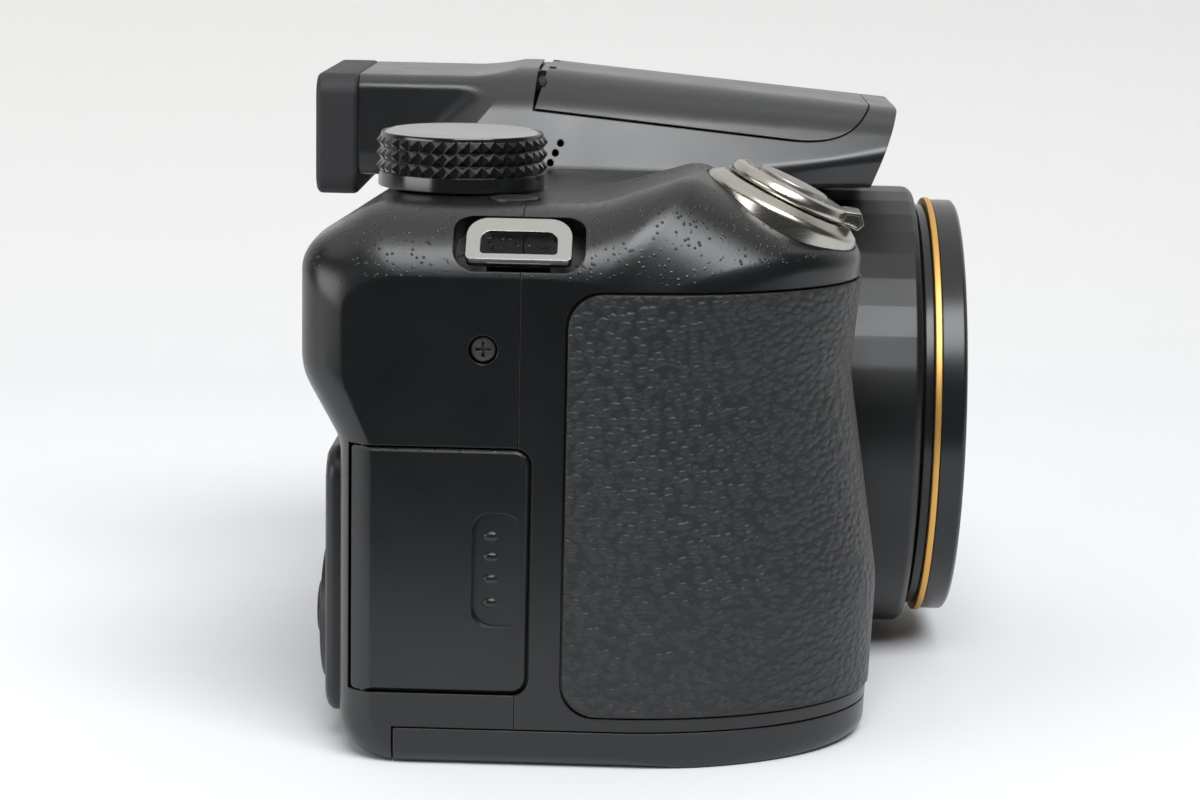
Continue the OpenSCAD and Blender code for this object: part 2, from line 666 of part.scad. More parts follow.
module strap_lugs() color("#c9ccd0") {
    at_lugs() {
        difference() {
            translate([0, 0, -lug_t / 2]) linear_extrude(lug_t)
                round_rect([-lug_h / 2, lug_h / 2], [-lug_w / 2, lug_w / 2], 3.2);
            translate([0, 0, -lug_t]) linear_extrude(2 * lug_t)
                round_rect([-lug_h / 2 + 2, lug_h / 2 - 1.6], [-lug_w / 2 + 2.2, lug_w / 2 - 2.2], 1.4);
        }
        translate([-lug_h / 2, -lug_w / 2 + 3, -lug_depth + touch]) cube([1.6, lug_w - 6, lug_depth]);
    }
}

module case_screws() color("#3a3b3e") {
    screw_place() plain_screw(screw_head_r);
}

// Lens: fixed barrel with flats, housing, two telescoping stages, cells and glass
barrel_in_r = barrel_r - barrel_thick;
mid_r = barrel_in_r - barrel_gap;
barrel_rear_y = front_y + 6.5;
mid_front_y = barrel_front_y - 1.5;
mid_rear_y = barrel_rear_y - 1;
front_r = mid_r - barrel_wall - barrel_gap;
front_in_r = front_r - barrel_wall;
ring_r = front_r + ring_lip;
filter_r = ring_r - ring_wall;
ring_rear_y = mid_front_y - 0.7;
flats_to = 20;
module fixed_barrel() color("#2b2d30") {
    difference() {
        union() {
            turned([[barrel_in_r, barrel_rear_y], [barrel_r - 1, barrel_rear_y], [barrel_r - 1, front_y],
                [barrel_r, front_y], [barrel_r, barrel_front_y + 4], [barrel_r - 1.2, barrel_front_y],
                [barrel_in_r, barrel_front_y]]);
            intersection() {
                tube(barrel_r - 0.5, barrel_r + 2.6, [front_y + wall + touch, front_y + wall + 1.6]);
                block([-barrel_r - over, plain_side - 6], [front_y, 0], [wall + 1.2, lens_z + 30.5]);
            }
        }
        barrel_cuts();
    }
}
// Shallow flats round the upper half of the barrel
module barrel_cuts() {
    step = 360 / barrel_flats;
    for (a = [flats_to + step / 2 : step : 180 - flats_to])
        translate([0, 0, lens_z]) rotate([0, -a, 0])
            translate([barrel_r * cos(step / 2), barrel_front_y + 1.4, -barrel_r * sin(step / 2) - 0.6])
                cube([over, front_y - barrel_front_y - 4, 2 * barrel_r * sin(step / 2) + 1.2]);
}
module lens_housing() color("#17181a") {
    difference() {
        turned([[20, barrel_rear_y + touch], [barrel_r - 1, barrel_rear_y + touch],
            [barrel_r - 1, barrel_rear_y + 1.7], [22.2, barrel_rear_y + 1.7],
            [22.2, 14.5], [8, 14.5], [8, 13], [20, 13]]);
        rod_y(motor_at[0], [barrel_rear_y - 1, barrel_rear_y + 3], motor_at[1], motor_shaft_r + 0.2);
        for (s = [-1, 1]) rod_y(s * rod_x0, [12, 15], lens_z, guide_r + 0.01);
    }
}
module mid_barrel() color("#1d1e20") {
    tube(mid_r - barrel_wall, mid_r, [mid_front_y, mid_rear_y]);
    tube(cell_r - 0.2, mid_r - barrel_wall, [mid_rear_y - 1.5, mid_rear_y]);
}
cell_r = 17;
module zoom_cell() color("#17181a") {
    y = mid_rear_y - 1.5 - touch;
    turned([[zoom_glass_r - 1, y], [cell_r + 2, y], [cell_r + 2, y - 1.2], [cell_r - 0.4, y - 1.2],
        [cell_r - 0.4, y - 12], [zoom_glass_r + 0.1, y - 12], [zoom_glass_r + 0.1, y - 3],
        [zoom_glass_r - 1, y - 3]]);
}
zoom_glass_r = 14.4;
module zoom_lens() color("#7d8f9c") {
    y = mid_rear_y - 4.5 - 2 * touch;
    lens_glass(zoom_glass_r, y - 5, y, -60, -60);
}
// Lens element of edge radius r between its two edge planes; a positive ball radius bulges outward
function bow(q, ball) = sign(ball) * (abs(ball) - sqrt(ball * ball - q * q));
module lens_glass(r, front, rear, front_ball, rear_ball) {
    n = 10;
    turned(concat(
        [for (k = [0 : n]) let (q = r * k / n) [q, front + bow(q, front_ball) - bow(r, front_ball)]],
        [for (k = [n : -1 : 0]) let (q = r * k / n) [q, rear - bow(q, rear_ball) + bow(r, rear_ball)]]));
}
module front_barrel() color("#1a1b1d") {
    tube(front_in_r, front_r, [ring_rear_y, mid_rear_y - 3]);
    tube(front_in_r - 4, front_in_r + 0.2, [ring_rear_y + 5, ring_rear_y + 6.2]);
}
module front_ring() color("#2a2b2e") {
    y = ring_rear_y;
    turned([[front_in_r, y - touch], [ring_r, y - touch],
        [ring_r, accent_y[1] + 0.02], [ring_r - 1, accent_y[1] + 0.02],
        [ring_r - 1, accent_y[0] - 0.02], [ring_r, accent_y[0] - 0.02],
        [ring_r - 0.5, lens_front_y + 0.6], [ring_r - 1.1, lens_front_y],
        [filter_r + 0.6, lens_front_y], [filter_r, lens_front_y + 0.5],
        [filter_r, bezel_y - 0.1], [filter_r - 0.5, bezel_y - 0.1],
        [filter_r - 0.5, ring_step_y], [front_in_r, ring_step_y]]);
}
accent_y = [ring_rear_y - 2.4, ring_rear_y - 1.4];
ring_step_y = ring_rear_y - 2;
bezel_y = ring_step_y - 0.8;
module accent_ring() color("#d9a441") tube(ring_r - 0.98, ring_r + 0.3, accent_y);
bezel_in_r = front_in_r - 4.2;
module lens_bezel() color("#131416") {
    y = ring_step_y - touch;
    turned([[filter_r - 0.65, y], [filter_r - 0.65, y - 0.8], [front_in_r - 0.6, y - 0.8],
        [bezel_in_r, y + 2.4], [bezel_in_r, y + 3.4], [front_in_r - 1, y + 0.4], [front_in_r - 0.6, y]]);
}
module front_element() color("#5b4a7a") {
    rear = ring_rear_y + 5 - touch;
    lens_glass(front_in_r - 0.2, rear - 1.95, rear, 90, -110);
}
module shutter_unit() color("#101113") {
    difference() {
        tube(9, 19.9, [barrel_rear_y + 2.4, barrel_rear_y + 6.8]);
        for (s = [-1, 1])
            rod_y(s * rod_x0, [barrel_rear_y + 5.4, barrel_rear_y + 9], lens_z, guide_r + 0.01);
    }
}
rod_x0 = 14;
guide_r = 0.9;
module guide_rods() color("#c4c7ca") {
    for (s = [-1, 1]) rod_y(s * rod_x0, [barrel_rear_y + 5.5, 14.4], lens_z, guide_r);
}
focus_y = [barrel_rear_y + 11, barrel_rear_y + 16];
focus_r = 8.4;
module focus_cell() color("#17181a") {
    difference() {
        union() {
            tube(focus_r + 0.1, focus_r + 2, focus_y);
            for (s = [-1, 1]) {
                rod_y(s * rod_x0, focus_y, lens_z, 2.2);
                block(s > 0 ? [focus_r + 1, rod_x0] : [-rod_x0, -focus_r - 1], focus_y,
                    [lens_z - 1.2, lens_z + 1.2]);
            }
        }
        for (s = [-1, 1]) rod_y(s * rod_x0, [focus_y[0] - 1, focus_y[1] + 1], lens_z, guide_r + run);
        rod_y(0, [focus_y[0] - 1, focus_y[1] + 1], lens_z, focus_r + 0.1);
    }
}
module focus_lens() color("#7d8f9c") lens_glass(focus_r, focus_y[0] + 1.6, focus_y[1] - 1.6, 40, 40);
motor_r = 3.1;
motor_reach = 22.2 + motor_r + 0.3;
motor_at = [-motor_reach * cos(45), lens_z + motor_reach * sin(45)];
motor_shaft_r = 0.8;
module zoom_motor() color("#9a9da1") {
    y = barrel_rear_y + 1.7 + touch;
    rod_y(motor_at[0], [y, y + 5], motor_at[1], motor_r);
    rod_y(motor_at[0], [y + 5, y + 16], motor_at[1], motor_r - 0.4);
    rod_y(motor_at[0], [y - 2.4, y], motor_at[1], motor_shaft_r);
}
module image_sensor() color("#2f5d46") {
    block([-6.5, 6.5], [14.5 + touch, 15.6], [lens_z - 5.5, lens_z + 5.5]);
    block([-18, 18], [15.6, 16.8], [lens_z - 15, lens_z + 15]);
}

// Electronics behind the lens and the card slot
board_y = [26.2, 27.4];
module main_board() color("#2c5a45") {
    difference() {
        block([-72, 33], board_y, [9, 65]);
        block([-80, -41], [board_y[0] - 1, board_y[1] + 1], [45, 70]);
    }
    rod_y(0, [16.8 + touch, board_y[0]], lens_z, 3);
}
card_x = [-grip_side + 3.4, -grip_side + 35.4];
card_y = [22.2, 24.3];
card_z = [14.6, 38.6];
module card_slot() color("#a9adb2") {
    difference() {
        block([card_x[0] + 1, card_x[1] + 1], [card_y[0] - 1.4, board_y[0] - touch],
            [card_z[0] - 1.6, card_z[1] + 1.6]);
        block([card_x[0] - 1, card_x[1] + 0.15], [card_y[0] - 0.15, card_y[1] + 0.15],
            [card_z[0] - 0.15, card_z[1] + 0.15]);
    }
}
module memory_card() color("#1b2430") {
    side_prism_card();
}
module side_prism_card() {
    back_prism(card_y) polygon([[card_x[0], card_z[0]], [card_x[1] - 4, card_z[0]],
        [card_x[1], card_z[0] + 4], [card_x[1], card_z[1]], [card_x[0], card_z[1]]]);
}

// Card door, hinged on a pin inside the rear corner
card_eyes = [[card_low_z + 3, card_low_z + 8], [card_top_z - 8, card_top_z - 3]];
module card_door() color("#232427") {
    difference() {
        union() {
            intersection() {
                difference() {
                    side_form(0);
                    side_form(-door_t);
                }
                side_prism([-grip_side - over, -grip_side + rear_corner_r - touch])
                    card_window(-seam, card_corner_r);
            }
            for (z = card_eyes) rod_z(card_pin_x, card_pin_y, z, card_eye_r);
        }
        rod_z(card_pin_x, card_pin_y, [card_low_z, card_top_z], card_pin_r + run);
        // the rear edge's inner tip, trimmed so that it turns inside the swing pocket
        block([card_pin_x + 1, card_pin_x + over], [card_pin_y + 1, card_rear_y + over],
            [card_low_z, card_top_z]);
        // thumb recess
        side_prism([-grip_side - 1, -grip_side + 0.6])
            round_rect([card_front_y + 1.2, card_front_y + 7.8], [19.3, 34.6], 2.2);
    }
}
module card_door_pin() color("#8c9094") {
    rod_z(card_pin_x, card_pin_y, [card_low_z - 1.5, card_top_z + 1.5], card_pin_r);
}

// Four round cells in their cradle, under the battery door
cell_pitch = 14.7;
cell_x0 = (-grip_side + grip_in_x) / 2 + 1.55;
cell_y0 = 2.5;
aa_r = 7.2;
aa_z = [6, 56];
module cell_places() {
    for (i = [-0.5, 0.5], j = [-0.5, 0.5])
        translate([cell_x0 + i * cell_pitch, cell_y0 + j * cell_pitch, 0]) children();
}
module battery_case() color("#1b1c1e") {
    difference() {
        intersection() {
            body_loft(-wall - 0.15, plain_arcs, concat(grip_stations(-wall - 0.15, false), [-53.5],
                [for (s = [-0.5, -0.25, 0, 0.25, 0.5]) grip_in_x - wall - 0.15 + s * wall_blend]));
            block([-grip_side, grip_in_x - 0.2],
                [cell_y0 - cell_pitch - 3, cell_y0 + cell_pitch + 0.9], [battery_top_z + 0.3, aa_z[1] + 3]);
        }
        cell_places() rod_z(0, 0, [0, aa_z[1] + 1.2], aa_r + 0.2);
    }
}
module battery_cells() color("#6f7a3a") {
    cell_places() {
        rod_z(0, 0, aa_z, aa_r);
        rod_z(0, 0, [aa_z[1], aa_z[1] + 1], 2.7);
    }
}
battery_eyes = [[-11, -5], [18, 24]];
link_gap = 0.2;
module battery_door() color("#232427") {
    difference() {
        union() {
            intersection() {
                difference() {
                    grip_form(0, foot_arcs);
                    grip_form(-door_t - 0.3, foot_arcs, false);
                    block([-grip_side - over, 0], [grip_y - over, thumb_y + over], [-over, battery_lift]);
                }
                block([-grip_side - over, battery_pin_x], [grip_y - over, battery_rear_y - seam],
                    [-over, battery_top_z - seam]);
            }
            intersection() {
                rod_y(battery_pin_x, [front_y, battery_rear_y - seam], battery_pin_z, battery_eye_r);
                block([-grip_side, 0], [grip_y, rear_y], [battery_lift, 9]);
            }
        }
        rod_y(battery_pin_x, [front_y - 1, rear_y], battery_pin_z, battery_pin_r + run);
        for (e = battery_eyes)
            block([battery_pin_x - 2.2, grip_in_x], [e[0] - link_gap, e[1] + link_gap], [-1, 9]);
    }
}
link_z = [wall + 0.1, wall + 1.1];
module battery_hinge() color("#8c9094") {
    rod_y(battery_pin_x, [front_y + 0.4, battery_rear_y - 1], battery_pin_z, battery_pin_r);
    for (e = battery_eyes) {
        rod_y(battery_pin_x, e, battery_pin_z, battery_eye_r - 0.1);
        block([battery_pin_x - 0.6, grip_in_x + 8], e, link_z);
    }
    block([grip_in_x + 5, grip_in_x + 8], [battery_eyes[0][0], battery_eyes[1][1]], link_z);
}

// Mode dial with its stem, and the bright disc let into its top
dial_low_z = deck_z + 1.3;
dial_top_z = dial_low_z + dial_h;
module knurled(z0, z1) {
    translate([dial_x, dial_y, z0]) linear_extrude(z1 - z0)
        polygon([for (k = [0 : 2 * dial_knurls - 1])
            let (a = 180 * k / dial_knurls, r = dial_r - (k % 2) * 0.5)
            [r * cos(a), r * sin(a)]]);
}
module mode_dial() color("#18191b") {
    row = dial_h / 3;
    difference() {
        union() {
            for (k = [0 : 2]) knurled(dial_low_z + k * row + 0.12, dial_low_z + (k + 1) * row - 0.12);
            rod_z(dial_x, dial_y, [dial_low_z, dial_top_z], dial_r - 0.6);
            rod_z(dial_x, dial_y, [deck_z + 0.3, dial_low_z + 1], dial_r - 0.5);
            rod_z(dial_x, dial_y, [deck_z - wall - 2, deck_z + 1], dial_stem_r);
            rod_z(dial_x, dial_y, [deck_z - wall - 1.6, deck_z - wall - 0.4], dial_stem_r + 1);
        }
        rod_z(dial_x, dial_y, [dial_top_z - 0.9, dial_top_z + 1], dial_r - 1.1);
    }
}
module mode_dial_cap() color("#b4b6b9") {
    translate([dial_x, dial_y, dial_top_z - 0.85]) {
        cylinder(0.75, dial_r - 1.15, dial_r - 1.15);
        translate([0, 0, 0.75]) cylinder(0.4, dial_r - 1.15, dial_r - 1.55);
    }
}

// Zoom lever round the shutter button, on its bright plate
sleeve_r = shutter_r + 1;
module zoom_plate() color("#c9c3b6") {
    at_shutter() difference() {
        union() {
            rod_z(0, 0, [-2.7, 0.2], plate_r);
            translate([0, 0, 0.2]) cylinder(1.3, plate_r, plate_r - 1.6);
        }
        rod_z(0, 0, [-4, 3], sleeve_r + run);
    }
}
module zoom_lever() color("#c9c3b6") {
    at_shutter() difference() {
        union() {
            rod_z(0, 0, [1.7, 3.5], lever_r);
            rod_z(0, 0, [-1, 2], sleeve_r);
            side_prism([-3.2, 3.2]) polygon([[-lever_r + 1.2, 1.7], [-lever_r - 1.6, 1.9],
                [-lever_r - 2, 3], [-lever_r - 1, 4.2], [-lever_r + 1.2, 3.5]]);
        }
        rod_z(0, 0, [-2, 5], shutter_r + 0.2);
        for (x = [[-4, -2.4], [2.4, 4]])
            side_prism(x) polygon([[-lever_r + 0.6, 2.1], [-lever_r - 1.2, 2.3], [-lever_r - 1.5, 2.9],
                [-lever_r - 0.9, 3.7], [-lever_r + 0.6, 3.2]]);
    }
}
module shutter_button() color("#b9b7b0") {
    at_shutter() difference() {
        union() {
            rod_z(0, 0, [1.6, 4.1], shutter_r);
            rod_z(0, 0, [-5.5, 2], 2);
        }
        translate([0, 0, 4.1 + 34.4]) sphere(35, $fn = 96);
    }
}
module power_button() color("#2c2d30") {
    rod_z(power_at[0], power_at[1], [deck_z - 2, deck_z + 0.35], power_r);
}

// Pop-up flash
lid_wall = 1.6;
module flash_cover() color("#2a2b2e") {
    difference() {
        union() {
            difference() {
                intersection() {
                    hump_form();
                    side_prism([-hump_base, hump_base]) flash_outline(0, 0);
                }
                intersection() {
                    hump_form(-lid_wall, false);
                    block([-hump_base, hump_base], [flash_lip_y + 2.6, flash_hinge_y - 2.4], [deck_z, 99]);
                }
                // room for the fixed hinge ears
                for (x = [[-9.9, -6.15], [6.15, 9.9]])
                    block(x, [flash_hinge_y - flash_knuckle_r - 0.4, flash_hinge_y + over],
                        [flash_hinge_z - 2.2, 99]);
            }
            rod_x([-6, 6], flash_hinge_y, flash_hinge_z, flash_knuckle_r);
            block([-6, 6], [flash_hinge_y - 2.4, flash_hinge_y],
                [flash_hinge_z - flash_knuckle_r, flash_hinge_z + 0.8]);
        }
        rod_x([-20, 20], flash_hinge_y, flash_hinge_z, flash_pin_r + run);
        // slot for the lamp window
        side_prism([-14.2, 14.2]) polygon(lamp_outline(0.15, 1));
    }
}
// Lamp window in the slanted front of the lid, as a strip of thickness t grown by g
lamp_a = [-28.6, flash_low_front_z + 0.4];
lamp_b = [-31.4, flash_low_front_z + 2.2];
function lamp_outline(g, out) =
    let (u = unit(lamp_b - lamp_a), n = [-u[1], u[0]])
    [lamp_a - g * u + out * n, lamp_b + g * u + out * n,
        lamp_b + g * u - (0.9 + g) * n, lamp_a - g * u - (0.9 + g) * n];
module flash_window() color("#e8ecef") side_prism([-14, 14]) polygon(lamp_outline(0, 0));
module flash_reflector() color("#d4d8dc") {
    difference() {
        side_prism([-13.5, 13.5]) polygon([[-28.2, flash_low_front_z + 1.4],
            [-30.2, flash_low_front_z + 2.7], [-24.6, flash_low_front_z + 3.1],
            [-24.6, flash_low_front_z + 1.2]]);
        rod_x([-14, 14], lamp_tube_at[0], lamp_tube_at[1], 0.75);
    }
}
lamp_tube_at = [-27.4, flash_low_front_z + 2.1];
module flash_tube() color("#f2f2ee") rod_x([-12, 12], lamp_tube_at[0], lamp_tube_at[1], 0.6);
module flash_pin() color("#9a9da1") rod_x([-9.6, 9.6], flash_hinge_y, flash_hinge_z, flash_pin_r);
module flash_button() color("#2c2d30") {
    rod_x([15.5, 22.4], flash_button_at[0], flash_button_at[1], flash_button_r);
}

// Eyepiece
eye_z = hump_top_z - 10.2;
eyecup_y = [tunnel_rear_y + touch, tunnel_rear_y + eyecup_len];
eyecup_edge = 0.8;
module eyecup() color("#1b1c1e") {
    difference() {
        hull() {
            back_prism([eyecup_y[0], eyecup_y[1] - eyecup_edge])
                round_rect([-eyecup_w, eyecup_w], [eye_z - 9.1, eye_z + 9.1], 3.2, $fn = 32);
            back_prism([eyecup_y[1] - 0.1, eyecup_y[1]])
                round_rect([eyecup_edge - eyecup_w, eyecup_w - eyecup_edge],
                    [eye_z - 9.1 + eyecup_edge, eye_z + 9.1 - eyecup_edge], 2.6, $fn = 32);
        }
        back_prism([eyecup_y[0] - 1, eyecup_y[1] + 1]) round_rect([-11, 11], [eye_z - 6, eye_z + 6], 3);
    }
}
module eyepiece_lens() color("#39424a") {
    back_prism([tunnel_rear_y - 3, eyecup_y[0] + 1])
        round_rect([-10.8, 10.8], [eye_z - 5.8, eye_z + 5.8], 2.8);
}
module evf_display() color("#14161a") {
    block([-9, 9], [19.4, 21.6], [eye_z - 5, eye_z + 6.6]);
    block([-12.9, 12.9], [18 + touch, 19.4], [eye_z - 5.5, eye_z + 6.7]);
}
module diopter_wheel() color("#1b1c1e") {
    rod_x(diopter_x, diopter_at[0], diopter_at[1], diopter_r);
    rod_x([diopter_x[0] - 1.6, diopter_x[0]], diopter_at[0], diopter_at[1], diopter_stub_r);
}

// Buttons on the back
module back_button(p, r, y) rod_y(p[0], y, p[1], r);
module video_button() color("#2c2d30") back_button(video_at, video_r, [rear_y - wall - 0.4, rear_y + 1]);
module play_button() color("#2c2d30") back_button(play_at, small_r, [rear_y + 0.7, panel_y + 0.5]);
module menu_button() color("#2c2d30") back_button(menu_at, small_r, [rear_y + 0.7, panel_y + 0.6]);
// The pad rocks on two half-round ribs
module four_way_pad() color("#242528") {
    difference() {
        union() {
            back_button(pad_at, pad_r, [rear_y + 1, panel_y + 1.7]);
            rod_x([pad_at[0] - pad_r + 0.6, pad_at[0] + pad_r - 0.6], rear_y + 1, pad_at[1], pad_rib_r);
        }
        back_button(pad_at, ok_r + button_gap, [rear_y, panel_y + 3]);
    }
}
module ok_button() color("#2c2d30") back_button(pad_at, ok_r, [rear_y + 0.7, panel_y + 2.5]);

// Plain side: rubber port door and the sockets behind it
module port_cover() color("#1f2023") {
    side_prism([plain_side - door_t, plain_side]) round_rect([port_y[0] - 0.1, port_y[1]], port_z, 0.8);
    rod_z(plain_side - port_knuckle_r, port_y[0], port_z, port_knuckle_r);
}
module port_jacks() color("#8c9094") {
    x = [plain_side - 6, plain_side - door_t - 0.3];
    difference() {
        block(x, [port_y[0] + 2.2, port_y[1] - 1.8], [port_z[0] + 3.2, port_z[1] - 3.2]);
        for (z = [[port_z[0] + 5, port_z[0] + 12.5], [port_z[1] - 12, port_z[1] - 5]])
            block([x[0] + 1, x[1] + 1], [port_y[0] + 4.8, port_y[0] + 7.4], z);
    }
}
module af_lamp() color("#7a2a1c") rod_y(af_at[0], [front_y - 0.3, front_y + wall], af_at[1], af_r);

front_shell();
rear_shell();
top_cover();
grip_skin();
rear_panel();
lcd_window();
lcd_module();
tripod_socket();
strap_lugs();
case_screws();
fixed_barrel();
lens_housing();
mid_barrel();
front_barrel();
front_ring();
accent_ring();
lens_bezel();
front_element();
zoom_cell();
zoom_lens();
shutter_unit();
guide_rods();
focus_cell();
focus_lens();
zoom_motor();
image_sensor();
main_board();
card_slot();
memory_card();
card_door();
card_door_pin();
battery_case();
battery_cells();
battery_door();
battery_hinge();
mode_dial();
mode_dial_cap();
zoom_plate();
zoom_lever();
shutter_button();
power_button();
flash_cover();
flash_reflector();
flash_tube();
flash_window();
flash_pin();
flash_button();
eyecup();
eyepiece_lens();
evf_display();
diopter_wheel();
video_button();
play_button();
menu_button();
four_way_pad();
ok_button();
port_cover();
port_jacks();
af_lamp();
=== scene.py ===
# %% [markdown]
# # A bridge camera, piece by piece
# The camera was drawn as CAD first, and its pieces and joints come from that frame. Here the pieces are modelled
# again with finer surfaces, and each gets a material like the real one's. Lengths are in millimetres while a piece
# is modelled; they become metres when it is done.

# %% The frame
import json
import math

import bmesh
import bpy
from mathutils import Matrix, Vector

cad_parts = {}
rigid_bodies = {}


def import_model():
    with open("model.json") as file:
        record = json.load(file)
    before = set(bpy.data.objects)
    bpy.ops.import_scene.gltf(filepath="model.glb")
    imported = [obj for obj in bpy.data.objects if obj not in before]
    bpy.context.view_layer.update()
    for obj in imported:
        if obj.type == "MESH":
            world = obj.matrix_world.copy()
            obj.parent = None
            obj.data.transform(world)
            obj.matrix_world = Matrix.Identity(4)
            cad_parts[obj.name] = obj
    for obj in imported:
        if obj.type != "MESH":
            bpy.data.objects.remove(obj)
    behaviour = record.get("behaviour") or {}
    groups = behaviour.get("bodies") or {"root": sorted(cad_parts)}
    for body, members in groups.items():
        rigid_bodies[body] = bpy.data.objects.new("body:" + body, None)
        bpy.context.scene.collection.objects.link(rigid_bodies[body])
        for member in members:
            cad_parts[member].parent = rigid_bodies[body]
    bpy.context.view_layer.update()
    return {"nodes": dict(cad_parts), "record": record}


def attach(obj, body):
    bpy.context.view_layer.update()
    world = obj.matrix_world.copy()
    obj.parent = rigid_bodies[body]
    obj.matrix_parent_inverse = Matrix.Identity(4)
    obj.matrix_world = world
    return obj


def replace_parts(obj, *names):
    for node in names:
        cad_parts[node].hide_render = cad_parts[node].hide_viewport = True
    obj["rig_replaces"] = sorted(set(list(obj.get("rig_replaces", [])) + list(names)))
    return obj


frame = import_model()
SLOTS = {row["node"]: row["material_slot"] for row in frame["record"]["subparts"]}

# %% [markdown]
# ## Shared places
# A hole in the shell and the button in it share a place, as do a pin and its bearings. On a drawing such a place
# has one dimension, so it has one name here.

# %% Shared places, in millimetres
MM = 0.001  # in the frame's metres
FAR = 99  # past every face
LENS_Z = 36
DIAL_AT, POWER_AT = (-50.8, 23.9), (-64.3, 15.9)
VIDEO_AT, PLAY_AT, MENU_AT, PAD = (-41, 53), (-64, 29), (-44, 32), (-56, 15.5)
DIOPTER_AT, FLASH_BUTTON_AT = (32, 78.5), (-2, 77.2)
FLASH_PIN, HATCH_PIN, CARD_PIN, PORT_PIN = (14.6, 86.3), (-48, 1.45), (-76.92, 34.396), (39.35, 17.2)
CUT, KEEP, ADD = "DIFFERENCE", "INTERSECT", "UNION"


def to(x, y, z):
    """A move from the origin."""
    return Matrix.Translation((x, y, z))


def spun(degrees, axis):
    """A turn about an axis."""
    return Matrix.Rotation(math.radians(degrees), 4, axis)


TO_BACK, TO_SIDE = spun(-90, "X"), spun(90, "Y")
print("dial at", DIAL_AT, "lens axis at height", LENS_Z)

# %% [markdown]
# ## Tools for modelling
# Most pieces of a camera are either turned, pressed from a flat outline, or moulded as a skin that changes its
# outline from one end to the other. There is one small function for each way of making.

# %% Tools
AXIS_WELD = 0.004  # points of a profile this near the axis become one


def turned(profile, steps=96):
    """A ring or disc: the profile of [radius, height] points goes once round the Z axis."""
    bm = bmesh.new()
    verts = [bm.verts.new((r, 0, z)) for r, z in profile]
    edges = [bm.edges.new(pair) for pair in zip(verts, verts[1:])]
    bmesh.ops.spin(bm, geom=verts + edges, cent=(0, 0, 0), axis=(0, 0, 1), angle=math.tau, steps=steps,
                   use_merge=True)
    bmesh.ops.remove_doubles(bm, verts=bm.verts, dist=AXIS_WELD)
    bmesh.ops.delete(bm, geom=[e for e in bm.edges if not e.link_faces], context="EDGES")
    bmesh.ops.recalc_face_normals(bm, faces=bm.faces)
    return bm


def prism(points, lo, hi, axis="x"):
    """A flat outline pressed from lo to hi along an axis; the two other coordinates are the outline's."""
    place = {"x": lambda a, b: (lo, a, b), "y": lambda a, b: (a, lo, b), "z": lambda a, b: (a, b, lo)}[axis]
    bm = bmesh.new()
    face = bm.faces.new([bm.verts.new(place(a, b)) for a, b in points])
    more = bmesh.ops.extrude_face_region(bm, geom=[face])["geom"]
    move = Vector([(hi - lo) if axis == c else 0 for c in "xyz"])
    bmesh.ops.translate(bm, vec=move, verts=[v for v in more if isinstance(v, bmesh.types.BMVert)])
    bmesh.ops.recalc_face_normals(bm, faces=bm.faces)
    return bm


def rounded_box(a, b, r, steps=8):
    """Outline of a rectangle from a = [low, high] and b = [low, high] with rounded corners."""
    points = []
    middles = ((a[1] - r, b[1] - r), (a[0] + r, b[1] - r), (a[0] + r, b[0] + r), (a[1] - r, b[0] + r))
    for k, (cx, cy) in enumerate(middles):
        for i in range(steps + 1):
            t = (k + i / steps) * math.pi / 2
            points.append((cx + r * math.cos(t), cy + r * math.sin(t)))
    return points


def box(x, y, z):
    """A block between two limits on each axis."""
    bm = bmesh.new()
    bmesh.ops.create_cube(bm, size=1)
    bmesh.ops.scale(bm, vec=(x[1] - x[0], y[1] - y[0], z[1] - z[0]), verts=bm.verts)
    bmesh.ops.translate(bm, vec=((x[0] + x[1]) / 2, (y[0] + y[1]) / 2, (z[0] + z[1]) / 2), verts=bm.verts)
    return bm


def rod(at, r, lo, hi, axis="z", steps=48):
    """A round bar or a drill along an axis; at holds the two other coordinates."""
    bm = bmesh.new()
    bmesh.ops.create_cone(bm, cap_ends=True, segments=steps, radius1=r, radius2=r, depth=hi - lo)
    bmesh.ops.translate(bm, vec=(0, 0, (lo + hi) / 2), verts=bm.verts)
    turn = {"z": Matrix(), "x": Matrix(((0, 0, 1), (1, 0, 0), (0, 1, 0))),
            "y": Matrix(((0, 1, 0), (0, 0, 1), (1, 0, 0)))}[axis]
    place = {"z": (at[0], at[1], 0), "x": (0, at[0], at[1]), "y": (at[0], 0, at[1])}[axis]
    bmesh.ops.transform(bm, matrix=to(*place) @ turn.to_4x4(), verts=bm.verts)
    return bm


def moved(bm, matrix):
    """The mesh after a move or a turn."""
    bmesh.ops.transform(bm, matrix=matrix, verts=bm.verts)
    return bm


def softened(bm, width, segments=2, angle=35):
    """Small rounds on every edge that bends by more than the angle."""
    limit = math.radians(angle)
    edges = [e for e in bm.edges if len(e.link_faces) == 2 and e.calc_face_angle(0) > limit]
    bmesh.ops.bevel(bm, geom=edges, offset=width, segments=segments, profile=0.5, affect="EDGES", material=-1,
                    clamp_overlap=True)
    return bm


print("tools: turned, prism, rounded_box, box, rod, moved, softened")

# %% [markdown]
# ## Cutting and finishing
# A mould's slides and cores leave pockets and holes; here one solid is cut with another in the same way. The last
# function turns a finished mesh into a piece of the camera that rides on its body.

# %% Cutting and finishing
def mesh_of(bm, name):
    """The built mesh as mesh data."""
    me = bpy.data.meshes.new(name)
    bm.to_mesh(me)
    bm.free()
    return me


def placed(data, name):
    """An object for mesh, light or camera data, put in the scene."""
    ob = bpy.data.objects.new(name, data)
    bpy.context.scene.collection.objects.link(ob)
    return ob


def joined(*parts):
    """Several meshes in one, each kept whole."""
    bm = bmesh.new()
    for part in parts:
        me = mesh_of(part, "part")
        bm.from_mesh(me)
        bpy.data.meshes.remove(me)
    return bm


